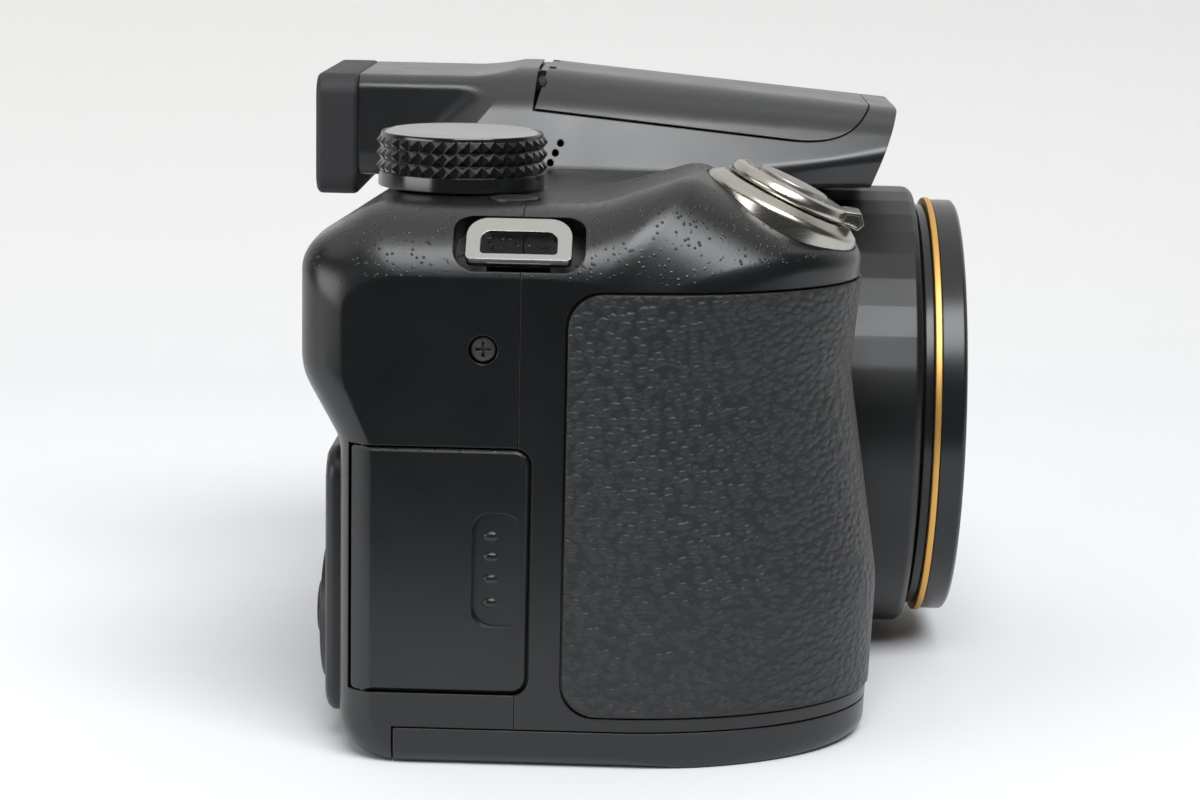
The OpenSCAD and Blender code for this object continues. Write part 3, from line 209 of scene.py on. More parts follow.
def carved(bm, *steps):
    """The solid after each step, which is CUT, KEEP or ADD and a tool, in turn."""
    ob = placed(mesh_of(bm, "work"), "work")
    for operation, tool in steps:
        tool_ob = placed(mesh_of(tool, "tool"), "tool")
        cut = ob.modifiers.new("cut", "BOOLEAN")
        cut.operation, cut.solver, cut.object = operation, "MANIFOLD", tool_ob
        done = bpy.data.meshes.new_from_object(ob.evaluated_get(bpy.context.evaluated_depsgraph_get()))
        ob.modifiers.clear()
        old, ob.data = ob.data, done
        for data in (old, tool_ob.data):
            bpy.data.meshes.remove(data)
    out = bmesh.new()
    out.from_mesh(ob.data)
    bpy.data.meshes.remove(ob.data)
    return out


def piece(bm, node, material, body="camera_body", angle=32):
    """The finished mesh as an object in metres that rides a body and stands for a CAD node."""
    bmesh.ops.scale(bm, vec=(MM, MM, MM), verts=bm.verts)
    me = mesh_of(bm, node)
    me.polygons.foreach_set("use_smooth", [True] * len(me.polygons))
    me.set_sharp_from_angle(angle=math.radians(angle))
    me.materials.append(material)
    ob = placed(me, node + "_look")
    ob.modifiers.new("even", "WEIGHTED_NORMAL").keep_sharp = True
    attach(ob, body)
    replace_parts(ob, node)
    print(ob.name, len(me.polygons), "faces")


print("tools: mesh_of, placed, joined, carved, piece")

# %% [markdown]
# ## Materials
# A camera's plastic is spark-eroded in the mould, so it has a fine speckle that breaks up the light; the rubber
# skin has a leather grain; bright parts are plated. Every material starts from one shader with a rounded-edge
# normal, and adds its own grain as bump and as small changes of roughness.

# %% Material tools
BY_SLOT = {}
COLOUR_A, COLOUR_B, COLOUR_OUT = 6, 7, 2  # the Mix node's colour sockets
DUST_AND_EDGE_HIGHLIGHT = 2.6  # how much lighter dust and the painted highlight along edges are


class Paint:
    """A node material under construction; it is kept under the name of the slot it is for."""

    def __init__(self, name, colour, roughness, metallic=0.0, edge=0.0, **sockets):
        self.mat = BY_SLOT[name] = bpy.data.materials.new(name + "_look")
        self.mat.use_nodes = True
        self.tree = self.mat.node_tree
        self.shader = self.tree.nodes["Principled BSDF"]
        self.shader.inputs["Base Color"].default_value = (*colour, 1)
        self.shader.inputs["Roughness"].default_value = roughness
        self.shader.inputs["Metallic"].default_value = metallic
        for key, value in sockets.items():
            self.shader.inputs[key.replace("_", " ")].default_value = value
        self.normal = None
        self.where = self.node("TexCoord").outputs["Object"]
        if edge:
            bevel = self.node("Bevel", Radius=edge * MM)
            bevel.samples = 4
            self.normal = bevel.outputs["Normal"]
            self.link(self.normal, self.shader.inputs["Normal"])

    def node(self, kind, **inputs):
        n = self.tree.nodes.new("ShaderNode" + kind)
        for key, value in inputs.items():
            n.inputs[key.replace("_", " ")].default_value = value
        return n

    def link(self, a, b):
        self.tree.links.new(a, b)

    def stretched(self, x, y, z):
        """The object's coordinates in cells of x, y and z millimetres."""
        m = self.node("Mapping", Scale=(1000 / x, 1000 / y, 1000 / z))
        self.link(self.where, m.inputs["Vector"])
        return m.outputs["Vector"]

    def noise(self, cell, detail):
        n = self.node("TexNoise", Scale=1.0, Detail=detail)
        self.link(self.stretched(*cell), n.inputs["Vector"])
        return n.outputs["Fac"]

    def cells(self, cell, feature="F1"):
        n = self.node("TexVoronoi", Scale=1.0)
        n.feature = feature
        self.link(self.stretched(*cell), n.inputs["Vector"])
        return n

    def ramp(self, value, *stops):
        """A value changed by straight pieces between (position, result) stops."""
        r = self.node("ValToRGB")
        while len(r.color_ramp.elements) < len(stops):
            r.color_ramp.elements.new(0.5)
        for element, (at, v) in zip(r.color_ramp.elements, stops):
            element.position, element.color = at, (v, v, v, 1)
        self.link(value, r.inputs["Fac"])
        return r.outputs["Color"]

    def math(self, operation, *values, kind="Math", result="Value"):
        """Arithmetic with numbers, vectors and other nodes' results."""
        n = self.node(kind)
        n.operation = operation
        for socket, v in zip(n.inputs, values):
            if isinstance(v, (int, float, tuple)):
                socket.default_value = v
            else:
                self.link(v, socket)
        return n.outputs[result]

    def vector(self, operation, *values, result="Vector"):
        return self.math(operation, *values, kind="VectorMath", result=result)

    def bump(self, height, depth, strength=1.0):
        """Relief of depth millimetres on top of what is there."""
        n = self.node("Bump", Strength=strength, Distance=depth * MM)
        self.link(height, n.inputs["Height"])
        if self.normal:
            self.link(self.normal, n.inputs["Normal"])
        self.normal = n.outputs["Normal"]
        self.link(self.normal, self.shader.inputs["Normal"])

    def vary(self, socket, value, low, high):
        """A socket that follows a value between low and high; both are colours or both numbers."""
        if isinstance(low, tuple):
            n = self.node("Mix")
            n.data_type = "RGBA"
            self.link(value, n.inputs["Factor"])
            n.inputs[COLOUR_A].default_value, n.inputs[COLOUR_B].default_value = (*low, 1), (*high, 1)
            result = n.outputs[COLOUR_OUT]
        else:
            n = self.node("MapRange", To_Min=low, To_Max=high)
            self.link(value, n.inputs["Value"])
            result = n.outputs["Result"]
        self.link(result, self.shader.inputs[socket])


print("material tools ready")

# %% [markdown]
# ## Plastics
# The case, the hump, the barrel and the buttons are moulded from different plastics, so each has its own black,
# grain and sheen. Drops of water stand on the shoulders of the case, as they do in the photograph.

# %% Plastics
def moulded(name, colour, roughness, grain=0.16, depth=0.012, edge=0.25, drops=False, shine=0.5):
    """Moulded plastic: fine speckle, slow changes of sheen, dust, and a painted highlight that lightens the edges.
    """
    p = Paint(name, colour, roughness, edge=edge, Specular_IOR_Level=shine)
    rounded = p.normal
    slow = p.noise((9, 9, 9), detail=3)
    p.vary("Roughness", slow, roughness - 0.07, roughness + 0.08)
    p.bump(p.noise((grain, grain, grain), detail=1), depth)
    dust = p.cells((1.5, 1.5, 1.5))
    spot = p.ramp(dust.outputs["Distance"], (0.0, 1.0), (0.055, 1.0), (0.07, 0.0))
    rare = p.ramp(p.noise((5, 5, 5), detail=1), (0.5, 0.0), (0.6, 1.0))
    dust_and_edge_highlight = p.math("MULTIPLY", spot, rare)
    # painted highlight: the base colour turns lighter along edges, where the rounded normal leans away from the
    # face's own
    if edge:
        bend = p.vector("DOT_PRODUCT", rounded, p.node("NewGeometry").outputs["Normal"], result="Value")
        dust_and_edge_highlight = p.math("MAXIMUM", dust_and_edge_highlight, p.ramp(bend, (0.9, 0.4), (0.99, 0.0)))
    p.vary("Base Color", dust_and_edge_highlight, colour, tuple(c * DUST_AND_EDGE_HIGHLIGHT for c in colour))
    if drops:
        up = p.node("SeparateXYZ")
        p.link(p.node("NewGeometry").outputs["Normal"], up.inputs["Vector"])
        above = p.ramp(up.outputs["Z"], (0.15, 0.0), (0.5, 1.0))
        beads = p.cells((0.8, 0.8, 0.8)).outputs["Distance"]
        beads = p.ramp(beads, (0.0, 1.0), (0.14, 0.8), (0.28, 0.0))
        wet = p.ramp(p.noise((7, 7, 7), detail=2), (0.38, 0.0), (0.5, 1.0))
        p.bump(p.math("MULTIPLY", beads, p.math("MULTIPLY", wet, above)), 0.1)
    return p.mat


shell_black = moulded("shell_plastic", (0.0060, 0.0066, 0.0071), 0.29, drops=True, shine=0.62)
hump_black = moulded("hump_plastic", (0.013, 0.014, 0.0155), 0.29, grain=0.2, shine=0.7)
panel_black = moulded("panel_plastic", (0.012, 0.0125, 0.0135), 0.38)
barrel_black = moulded("barrel_plastic", (0.005, 0.0054, 0.0058), 0.36, grain=0.12, depth=0.006, shine=0.55)
moulded("inner_plastic", (0.010, 0.010, 0.011), 0.55, edge=0)
ring_black = moulded("ring_plastic", (0.012, 0.0125, 0.0135), 0.24, grain=0.1, depth=0.002)
gloss_black = moulded("gloss_black", (0.008, 0.0085, 0.009), 0.15, grain=0.12, depth=0.003, edge=0.06, shine=0.8)
button_black = moulded("button_plastic", (0.018, 0.0185, 0.02), 0.35, grain=0.12, depth=0.005)
cup_rubber = moulded("eyecup_rubber", (0.022, 0.0225, 0.0235), 0.6, grain=0.25, depth=0.02)
moulded("circuit_board", (0.02, 0.10, 0.055), 0.45, grain=0.8, depth=0.01, edge=0)
moulded("card_plastic", (0.02, 0.03, 0.06), 0.4, edge=0)
screen_glass = moulded("screen_glass", (0.005, 0.005, 0.006), 0.07, grain=2.0, depth=0.0006, edge=0.1)
moulded("screen_panel", (0.02, 0.024, 0.03), 0.3, edge=0)
print("plastics:", len(BY_SLOT))

# %% [markdown]
# ## Rubber
# The grip's leather grain is etched into its mould. The cells are flat, a little longer than they are high, and
# only their upper edges catch the light.

# %% Rubber
def leather():
    """Soft rubber with a leather grain: flat rounded cells, pushed about a little so that no row shows."""
    p = Paint("grip_rubber", (0.026, 0.027, 0.028), 0.42, edge=0.5, Specular_IOR_Level=0.45)
    warp = p.node("TexNoise", Scale=420.0, Detail=2.0)
    p.link(p.where, warp.inputs["Vector"])
    p.where = p.vector("MULTIPLY_ADD", warp.outputs["Color"], (0.0008, 0.0008, 0.0008), p.where)
    pebbles = p.cells((1.45, 1.45, 0.92), "SMOOTH_F1")
    pebbles.inputs["Smoothness"].default_value = 0.15
    pads = p.ramp(pebbles.outputs["Distance"], (0.1, 1.0), (0.35, 0.8), (0.55, 0.25), (0.7, 0.0))
    small = p.noise((0.3, 0.3, 0.3), detail=2)
    p.bump(p.math("ADD", pads, p.math("MULTIPLY", small, 0.4)), 0.16)
    # painted shade: the valleys between the cells are coloured darker than the cells' tops
    p.vary("Base Color", pads, (0.018, 0.0188, 0.0196), (0.028, 0.0292, 0.030))
    p.vary("Roughness", small, 0.36, 0.52)
    return p.mat


grip_rubber = leather()
print("rubber:", grip_rubber.name)

# %% [markdown]
# ## Metals and glass
# Plated bars keep the scratches of their polishing, and turned discs those of the lathe. Lens glass is coated, so
# that its reflections are tinted.

# %% Metals and glass
RINGS_PER_METRE = 9000.0


def plated(name, colour, roughness, brush=(0.05, 4.0, 4.0), edge=0.15, depth=0.004):
    """Plated or brushed metal: fine scratches along one way, and slow changes of sheen."""
    p = Paint(name, colour, roughness, metallic=1.0, edge=edge)
    lines = p.noise(brush, detail=2)
    p.vary("Roughness", lines, max(0.03, roughness - 0.06), roughness + 0.08)
    p.bump(lines, depth, 0.6)
    return p.mat


def round_brushed(name, colour, roughness, centre, axis=2, depth=0.004):
    """Turned metal: the scratches run in circles about a centre, as a lathe leaves them."""
    p = Paint(name, colour, roughness, metallic=1.0, edge=0.12)
    off = p.vector("SUBTRACT", p.where, tuple(c * MM for c in centre))
    flat = p.vector("MULTIPLY", off, tuple(0.0 if k == axis else 1.0 for k in range(3)))
    far = p.vector("LENGTH", flat, result="Value")
    ring = p.node("TexNoise", Scale=1.0, Detail=3.0)
    ring.noise_dimensions = "1D"
    p.link(p.math("MULTIPLY", far, RINGS_PER_METRE), ring.inputs["W"])
    p.vary("Roughness", ring.outputs["Fac"], roughness - 0.05, roughness + 0.1)
    p.bump(ring.outputs["Fac"], depth, 0.5)
    return p.mat


def glass(name, colour, roughness, coat=(1, 1, 1), clear=1.0):
    """Coated glass: a coloured sheen that slants across it, and the faint veil of wiped dust."""
    p = Paint(name, colour, roughness, Transmission_Weight=clear, IOR=1.5)
    veil = p.noise((9, 9, 9), detail=1)
    p.vary("Roughness", veil, roughness * 0.4, roughness * 1.8)
    slant = p.ramp(p.noise((26, 26, 26), detail=0), (0.35, 0.0), (0.65, 1.0))
    p.vary("Specular Tint", slant, coat, tuple(reversed(coat)))
    return p.mat


nickel = plated("bright_metal", (0.50, 0.49, 0.47), 0.16, brush=(3.0, 0.08, 3.0))
champagne = plated("lever_chrome", (0.46, 0.44, 0.395), 0.24, brush=(3.0, 3.0, 0.1), depth=0.0007)
button_metal = round_brushed("button_metal", (0.44, 0.42, 0.39), 0.36, (-57, -20.15, 73.2), depth=0.0003)
screw_steel = plated("screw_steel", (0.16, 0.165, 0.17), 0.42, edge=0.08)
plated("pin_steel", (0.56, 0.56, 0.57), 0.25, edge=0)
plated("motor_metal", (0.45, 0.45, 0.46), 0.32, edge=0)
plated("cell_can", (0.34, 0.36, 0.30), 0.34, brush=(2.0, 2.0, 0.1), edge=0)
plated("reflector_mirror", (0.85, 0.86, 0.87), 0.08, edge=0)
gold = round_brushed("gold_trim", (0.80, 0.47, 0.14), 0.46, (0, 0, LENS_Z), axis=1)
dial_metal = round_brushed("dial_metal", (0.52, 0.53, 0.52), 0.34, (*DIAL_AT, 80))
lens_glass = glass("lens_glass", (0.30, 0.32, 0.36), 0.018, (0.62, 0.5, 1.0))
glass("lamp_glass", (0.93, 0.95, 0.96), 0.14, clear=0.7)
glass("af_glass", (0.55, 0.06, 0.03), 0.10, clear=0.6)
print("materials:", len(BY_SLOT))

# %% [markdown]
# ## The body's form
# The side profile has eleven corners, each with its own radius. Seen from above, the grip's front is an ellipse,
# so every corner is drawn back toward the flat side along its own arc.

# %% Body corners: y, z and radius, and how far each is drawn in at the ends
GRIP_SIDE, PLAIN_SIDE, DECK = 79.0, 40.0, 74.3
CREASE, FRONT_CREASE, ROUND_X = 15.0, 4.0, 24.0
CREST, SLOPE = 78.4, 25  # the shoulder's top, and the slope in front of it
TILT = math.radians(SLOPE)
SLOPE_END = CREST - 22.4 * math.tan(TILT)
GRIP = [(38, 0, 6), (38, 43, 6), (43.4, 52, 9), (43.4, 68.3, 5), (34, DECK, 9), (5, DECK, 16), (-9, CREST, 5),
        (-31.4, SLOPE_END, 3), (-30, 51, 16), (-34.6, 22, 26), (-33.8, 0, 2.5)]
PLAIN = [(38, 0, 6), (38, 43, 6), (38, 52, 9), (38, 69.3, 4), (33.5, DECK, 5), (5, DECK, 16), (-6, DECK, 4),
         (-14, 69.3, 4), (-14, 51, 16), (-14, 22, 26), (-14, 0, 2.5)]
GRIP_END = [(-6.5, 2.5), (-6.5, 0), (-8.5, 0), (-8.5, -7), (-3, -12), (6, -12), (13.5, -18.5), (35, -9), (36, 0),
            (36, 0), (36, 2.5)]
PLAIN_END = [(-6.5, 2.5), (-6.5, 0), (-6.5, 0), (-5.5, -7), (-3, -12), (0, -12), (0, -13), (6, -11), (6, 0), (6, 0),
             (6, 2.5)]
ARCS = [10, 8, 12, 10, 16, 10, 14, 12, 14, 12, 8]
RUNS = [22, 4, 8, 3, 12, 6, 10, 8, 14, 10, 40]
print("points round the body:", sum(ARCS) + sum(RUNS))

# %% [markdown]
# ## Outlines
# A drawing gives corners and radii; the points of the rounded line follow from them. Each outline has as many
# points as the next, so that rows of them can be laid side by side.

# %% Outlines
def mixed(a, b, t):
    """Part of the way from a to b."""
    return tuple(p + (q - p) * t for p, q in zip(a, b))


def ease(t):
    """From 0 to 1 with a soft start and a soft end."""
    t = min(1.0, max(0.0, t))
    return t * t * (3 - 2 * t)


def grown(corners, d):
    """An outline's corners moved outward by d, with their radii."""
    out = []
    for i, (y, z, r) in enumerate(corners):
        before, after = Vector(corners[i - 1][:2]), Vector(corners[(i + 1) % len(corners)][:2])
        u, v = (Vector((y, z)) - before).normalized(), (after - Vector((y, z))).normalized()
        nu, nv = Vector((u.y, -u.x)), Vector((v.y, -v.x))
        q = Vector((y, z)) + d * (nu + nv) / (1 + nu.dot(nv))
        out.append((q.x, q.y, max(0.4, r + (d if u.cross(v) > 0 else -d))))
    return out


def outline(corners, arcs, runs):
    """Points along rounded corners and along the straight runs between them."""
    spans = []
    for i, (y, z, r) in enumerate(corners):
        p, a = Vector((y, z)), Vector((y, z)) - Vector(corners[i - 1][:2])
        b = Vector(corners[(i + 1) % len(corners)][:2]) - p
        u, v = a.normalized(), b.normalized()
        turn = math.acos(max(-1, min(1, u.dot(v))))
        t = min(max(1, r * math.tan(turn / 2)), 0.48 * a.length, 0.48 * b.length)
        bend = t / math.tan(turn / 2) if turn > 2e-4 else 0
        w = Vector((-u.y, u.x)) * (1 if u.cross(v) > 0 else -1)
        row = []
        for k in range(arcs[i]):
            f = k / (arcs[i] - 1)
            go = bend * math.sin(turn * f) * u + bend * (1 - math.cos(turn * f)) * w if bend else 2 * t * f * u
            row.append(tuple(p - t * u + go))
        spans.append(row)
    points = []
    for i, row in enumerate(spans):
        follow = spans[(i + 1) % len(spans)][0]
        points += row + [mixed(row[-1], follow, (k + 1) / (runs[i] + 1)) for k in range(runs[i])]
    return points


print("outline tools ready")

# %% [markdown]
# ## The body's skin
# A grid is wrapped round the form: one way it follows the profile, the other way it goes from the grip side to the
# plain side. The same form, made larger or smaller, later gives the hollow, the rubber skin and the doors.

# %% Body skin
def drawn_in(a, length, angle, u):
    """How far a corner has moved in at u from the end, along a quarter of an ellipse."""
    c = math.cos(math.radians(angle)) - u / max(0.5, length)
    return 0 if abs(a) < 0.01 or c <= 0 else a * (1 - math.sqrt(1 - c * c))


def body_ring(x, d):
    """The body's outline at one place across it, grown outward by d."""
    left, right = x + GRIP_SIDE + d, PLAIN_SIDE + d - x
    on_grip, u = left < right, min(left, right)
    corners = []
    for i in range(11):
        low, high = (-48 + d, -41 + d) if i > 5 else (-64, -40)
        corners.append(mixed(GRIP[i], PLAIN[i], ease((x - low) / (high - low))))
    corners = grown(corners, d) if d else corners
    ring = []
    for i, (y, z, r) in enumerate(corners):
        ends = (GRIP_END if on_grip else PLAIN_END)[i]
        a, b = (math.copysign(max(0.5, abs(e) + d), e) if e else 0 for e in ends)
        length, angle = (ROUND_X + d, FRONT_CREASE) if on_grip and i > 5 else (abs(a), CREASE)
        back = drawn_in(a, length, angle, u)
        ring.append((y + back, z + drawn_in(b, min(abs(b), 14 + d), CREASE, u), r))
    return [(x, y, z) for y, z in outline(ring, ARCS, RUNS)]


def stations(d, grip_only=False):
    """Places across the body, close together where the form turns quickly."""
    end = [0, 0.12, 0.3, 0.55, 0.9, 1.35, 1.9, 2.6, 3.4, 4.3, 5.3, 6.4, 7.6, 8.9, 10.3, 11.8, 13.4, 15.1, 17, 19,
           21.2]
    xs = [-GRIP_SIDE - d + u for u in end] + [-55.5, -53, -50.8] + [-48.2 + d + 0.4 * k for k in range(19)]
    if grip_only:
        return xs
    far = [9, 7.5, 6.2, 5, 4, 3.1, 2.3, 1.6, 1, 0.55, 0.25, 0]
    return xs + [-38.4, -36] + [-33 + 3 * k for k in range(21)] + [PLAIN_SIDE + d - u for u in far]


def wrapped(rings):
    """A closed skin: a grid whose rows are laid on the rings, welded where it meets itself."""
    rows, cols = len(rings), len(rings[0])
    bm = bmesh.new()
    bmesh.ops.create_grid(bm, x_segments=cols, y_segments=rows - 1, size=1)
    for v in bm.verts:
        i, j = round((v.co.y + 1) / 2 * (rows - 1)), round((v.co.x + 1) / 2 * cols)
        v.co = rings[i][j % cols]
    bmesh.ops.remove_doubles(bm, verts=bm.verts, dist=1e-5)
    bmesh.ops.holes_fill(bm, edges=[e for e in bm.edges if e.is_boundary], sides=0)
    bmesh.ops.recalc_face_normals(bm, faces=bm.faces)
    return bm


def body_form(d=0.0, grip_only=False):
    """The body's solid, grown outward by d; the doors and the rubber need only its grip end."""
    return wrapped([body_ring(x, d) for x in stations(d, grip_only)])


print("rows across the body:", len(stations(0)))

# %% [markdown]
# ## Front and rear shells
# The case is two mouldings that meet in a hairline behind the strap lug. Each is the form less its hollow, with
# pockets for the lugs, screws, doors, dial and buttons. Cutting one wrapped skin keeps both halves flush.

# %% Shell cuts
LUG = to(-76.24, 14.5, 70.34) @ spun(-45, "Y")
LUG_FAR = to(37.24, 14.5, 70.34) @ spun(45, "Y")
DOWN_SLOPE = 12.3
SHUTTER = to(-57, -9 - DOWN_SLOPE * math.cos(TILT), CREST - DOWN_SLOPE * math.sin(TILT)) @ spun(SLOPE, "X")
WALL, SEAM_FRONT, SEAM_REAR = 2, 14.17, 14.25
CARD_Y, CARD_Z = (12.3, 36.3), (9.9, 43.4)
SIDE_SCREW = (18.9, 56.3)
BASE_SCREWS = [(-33, -6), (30, -6), (-33, 31), (30, 31)]


def card_window(g, front_r=2.4, rear_r=0.8):
    """The card door's outline, grown by g."""
    y, z = (CARD_Y[0] - g, CARD_Y[1] + g), (CARD_Z[0] - g, CARD_Z[1] + g)
    front, rear = rounded_box(y, z, front_r + g), rounded_box(y, z, max(0.3, rear_r + g))
    return rear[:9] + front[9:27] + rear[27:]


def skin_window(g):
    """The rubber skin's rear edge, with a gap of g to its bed."""
    return prism(rounded_box((-50, 8.2 - g), (7 + g, 64.2 - g), 4.6), -84, -45 - g)


def screw_holes():
    return [rod(SIDE_SCREW, 1.9, -84, -77.15, "x")] + [rod(p, 1.9, -5, 1.85) for p in BASE_SCREWS]


def lug_pocket():
    """The hollow a strap lug stands in."""
    return prism(rounded_box((-4.4, 4.4), (-8.6, 8.6), 2.8), -4.2, 6, "z")


def lug_houses():
    """The boxes behind the lugs, inside the case, that the lugs' pockets are sunk into."""
    for place in (LUG, LUG_FAR):
        block = prism(rounded_box((-5.9, 5.9), (-10, 10), 4), -5.6, 4, "z")
        yield ADD, carved(moved(block, place), (KEEP, body_form(-1)))


def shell_steps():
    """The cuts that both halves share."""
    sunk = carved(prism(card_window(0), -84, -72.5), (CUT, body_form(-1.35, True)))
    cuts = [box((-24.05, 24.05), (-20, 50), (71.95, FAR)), moved(lug_pocket(), LUG), moved(lug_pocket(), LUG_FAR),
            box((-90, -46.4), (-60, 30.5), (-5, 5.3)), rod(POWER_AT, 3.45, DECK - 3, 90), sunk,
            prism(card_window(-2), -84, -72.5), rod(CARD_PIN, 2.1, *CARD_Z)]
    return [(CUT, c) for c in cuts + screw_holes()]


front = carved(body_form(), (CUT, body_form(-WALL)), *lug_houses(),
               (CUT, box((-FAR, FAR), (SEAM_FRONT, FAR), (-9, FAR))), *shell_steps(),
               (CUT, rod((0, LENS_Z), 34.5, -30, -10, "y", 160)),
               (CUT, carved(skin_window(0), (CUT, body_form(-0.9, True)))),
               (CUT, moved(rod((0, 0), 11.35, -2.8, 12, steps=96), SHUTTER)),
               (CUT, rod((-36.5, 63), 2.45, -20, -11, "y")),
               (CUT, rod((0, 0), 5.45, -1, 3)))
piece(front, "front_shell", shell_black)
rear = carved(body_form(), (CUT, body_form(-WALL)), *lug_houses(),
              (CUT, box((-FAR, FAR), (-FAR, SEAM_REAR), (-9, FAR))), *shell_steps(),
              (CUT, rod(VIDEO_AT, 3.25, 30, 50, "y")),
              (CUT, rod(DIAL_AT, 2.06, 70, 80)),
              (CUT, box((38.65, 45), (16.4, 30.45), (19.85, 46.15))),
              (CUT, box((36, 39), (19.2, 28.7), (23, 43))))
piece(rear, "rear_shell", shell_black)

# %% [markdown]
# ## Rubber grip skin
# The skin is glued into a shallow bed and stands a little proud of it. It is cut from the same form, one third of
# a millimetre larger, so its edge follows the grip with an even, narrow groove.

# %% Grip skin
skin = carved(body_form(0.35, True), (CUT, body_form(-0.85, True)), (KEEP, skin_window(0.32)))
piece(skin, "grip_skin", grip_rubber)

# %% [markdown]
# ## Card door and battery door
# Both doors carry on the body's surface across a fine seam. The card door has a thumb hollow that grows deeper
# away from its front edge, with four small raised grips. Its hinge pin lies under the rounded rear corner.

# %% Doors
hollow = prism(rounded_box((13.5, 20.1), (19.3, 34.6), 2.4), -82, -78.2)
for v in hollow.verts:
    if v.co.x > -80:
        v.co.x = -79 + 0.85 * max(0.0, v.co.y - 13.9) / 6.2
EDGE = [(-84, 0.75), (-79.02, 0.75), (-78.55, 0.25), (-72.6, 0.25)]
plug = wrapped([[(x, y, z) for y, z in card_window(-g)] for x, g in EDGE])
door = carved(body_form(0, True), (CUT, body_form(-1.3, True)), (KEEP, plug),
              (ADD, rod(CARD_PIN, 1.15, 12.9, 17.9)), (ADD, rod(CARD_PIN, 1.15, 35.4, 40.4)),
              (CUT, rod(CARD_PIN, 0.66, 5, 50)), (CUT, hollow),
              (CUT, box((CARD_PIN[0] + 1, CARD_PIN[0] + 5), (CARD_PIN[1] + 1, 42), (5, 50))))
grips = []
for z in (31.4, 28.6, 25.6, 22.4):
    grip = bmesh.new()
    bmesh.ops.create_uvsphere(grip, u_segments=20, v_segments=10, radius=1)
    bmesh.ops.scale(grip, vec=(0.36, 1.0, 0.66), verts=grip.verts)
    grips.append(moved(grip, to(-78.52, 17.6, z)))
piece(carved(door, *((ADD, g) for g in grips)), "card_door", shell_black, "card_door")

knuckle = carved(rod(HATCH_PIN, 1.15, -14, 30.25, "y"), (KEEP, box((-60, -40), (-20, 40), (0.2, 9))))
hatch = carved(body_form(0, True), (CUT, body_form(-1.6, True)),
               (KEEP, box((-90, -48), (-60, 30.25), (0.2, 5.05))),
               (ADD, knuckle), (CUT, rod(HATCH_PIN, 0.66, -15, 38, "y")),
               (CUT, box((-50.2, -44.5), (-11.2, -4.8), (-1, 9))),
               (CUT, box((-50.2, -44.5), (17.8, 24.2), (-1, 9))))
piece(hatch, "battery_door", shell_black, "battery_door")

# %% [markdown]
# ## Hump: finder tunnel and flash lid
# The hump starts as a narrow finder tunnel, flares out to the flash and runs forward to a prow above the lens. Three
# sections, each half of one, say how it changes; the rows between them are mixed from these.

# %% Hump form: x, z and radius of each corner
TUNNEL = [(16.4, 72, 1), (17.2, 76, 6), (16.7, 85.8, 1.8), (14.4, 87, 2.4)]
WIDE = [(23.9, 72, 0.5), (23.9, 74.2, 1), (18.6, 84, 9), (12.4, 88.2, 14)]
PROW = [(18.4, 72, 1), (20.6, 77.8, 3), (18, 80.8, 7), (12.6, 83.3, 9)]
LEAN = [(72, 0.0), (77, -2.0), (84, -8.0), (88.5, -11.0)]
FLARE_ROW = 29  # the row along which the flare's edge lies
HUMP_ARCS, HUMP_RUNS = [4, 10, 10, 10, 10, 10, 10, 4], [4, 6, 5, 16, 5, 6, 4, 20]


def lean(z):
    """How far the flare's edge leans forward at a height."""
    for (a, p), (b, q) in zip(LEAN, LEAN[1:]):
        if z < b:
            break
    return p + (q - p) * (z - a) / (b - a)


def hump_ring(s, d):
    """One row round the hump; the rows lean with the flare, so that its edge lies along a row."""
    hold = ease((41.9 - s) / 5) if s > FLARE_ROW else max(0, s / FLARE_ROW)
    flare = min(1.0, max(0.0, (36 - s) / 7)) ** 2
    half = []
    for i in range(4):
        wide = mixed(TUNNEL[i], WIDE[i], flare)
        y = s + hold * lean(wide[1])
        onward = max(0.0, (14 - y) / 54) if i > 1 else max(0.0, (-8 - y) / 32) ** 1.6
        half.append(mixed(wide, PROW[i], onward))
    corners = half + [(-x, z, r) for x, z, r in reversed(half)]
    points = outline(grown(corners, d) if d else corners, HUMP_ARCS, HUMP_RUNS)
    return [(x, s + hold * lean(z), z) for x, z in points]


def hump_form(d=0.0):
    """The hump's solid, grown outward by d; its rows are close where it flares."""
    rows = [41.9, 40, 38, 36] + [36 - 0.5 * k for k in range(1, 14)] + [29.1, 29, 28.9, 27, 25]
    rows += [22 - 3 * k for k in range(20)] + [-37, -40]
    return wrapped([hump_ring(s, d) for s in rows])


print("points round the hump:", sum(HUMP_ARCS) + sum(HUMP_RUNS))

# %% [markdown]
# ## Top cover and flash lid
# The fixed cover and the hinged lid are cut from the same skin along the lid's seam, so they stay flush when it is
# shut. Two knuckles on the cover and one on the lid turn on a pin behind the flash.

# %% Top cover and flash lid
def flash_outline(g, back):
    """The lid's outline from the side, with a gap of g below and in front and of back behind."""
    points = [(13.8 + back, 93.2), (13.8 + back, 88.2), (15.4 + back * 0.2, 82.7 - g), (-22.6, 79.1 - g)]
    bend = [(-22.6, 79.1), (-29.6, 78.4), (-32.6, 80.2), (-34.8, 84)]
    for step in range(1, 13):
        t = step / 12
        w = ((1 - t) ** 3, 3 * t * (1 - t) ** 2, 3 * t * t * (1 - t), t ** 3)
        y, z = (sum(a * b[k] for a, b in zip(w, bend)) for k in (0, 1))
        points.append((y - g * t, z - g * (1 - t)))
    return prism(points + [(-34.8 - g, 93.2)], -25, 25)


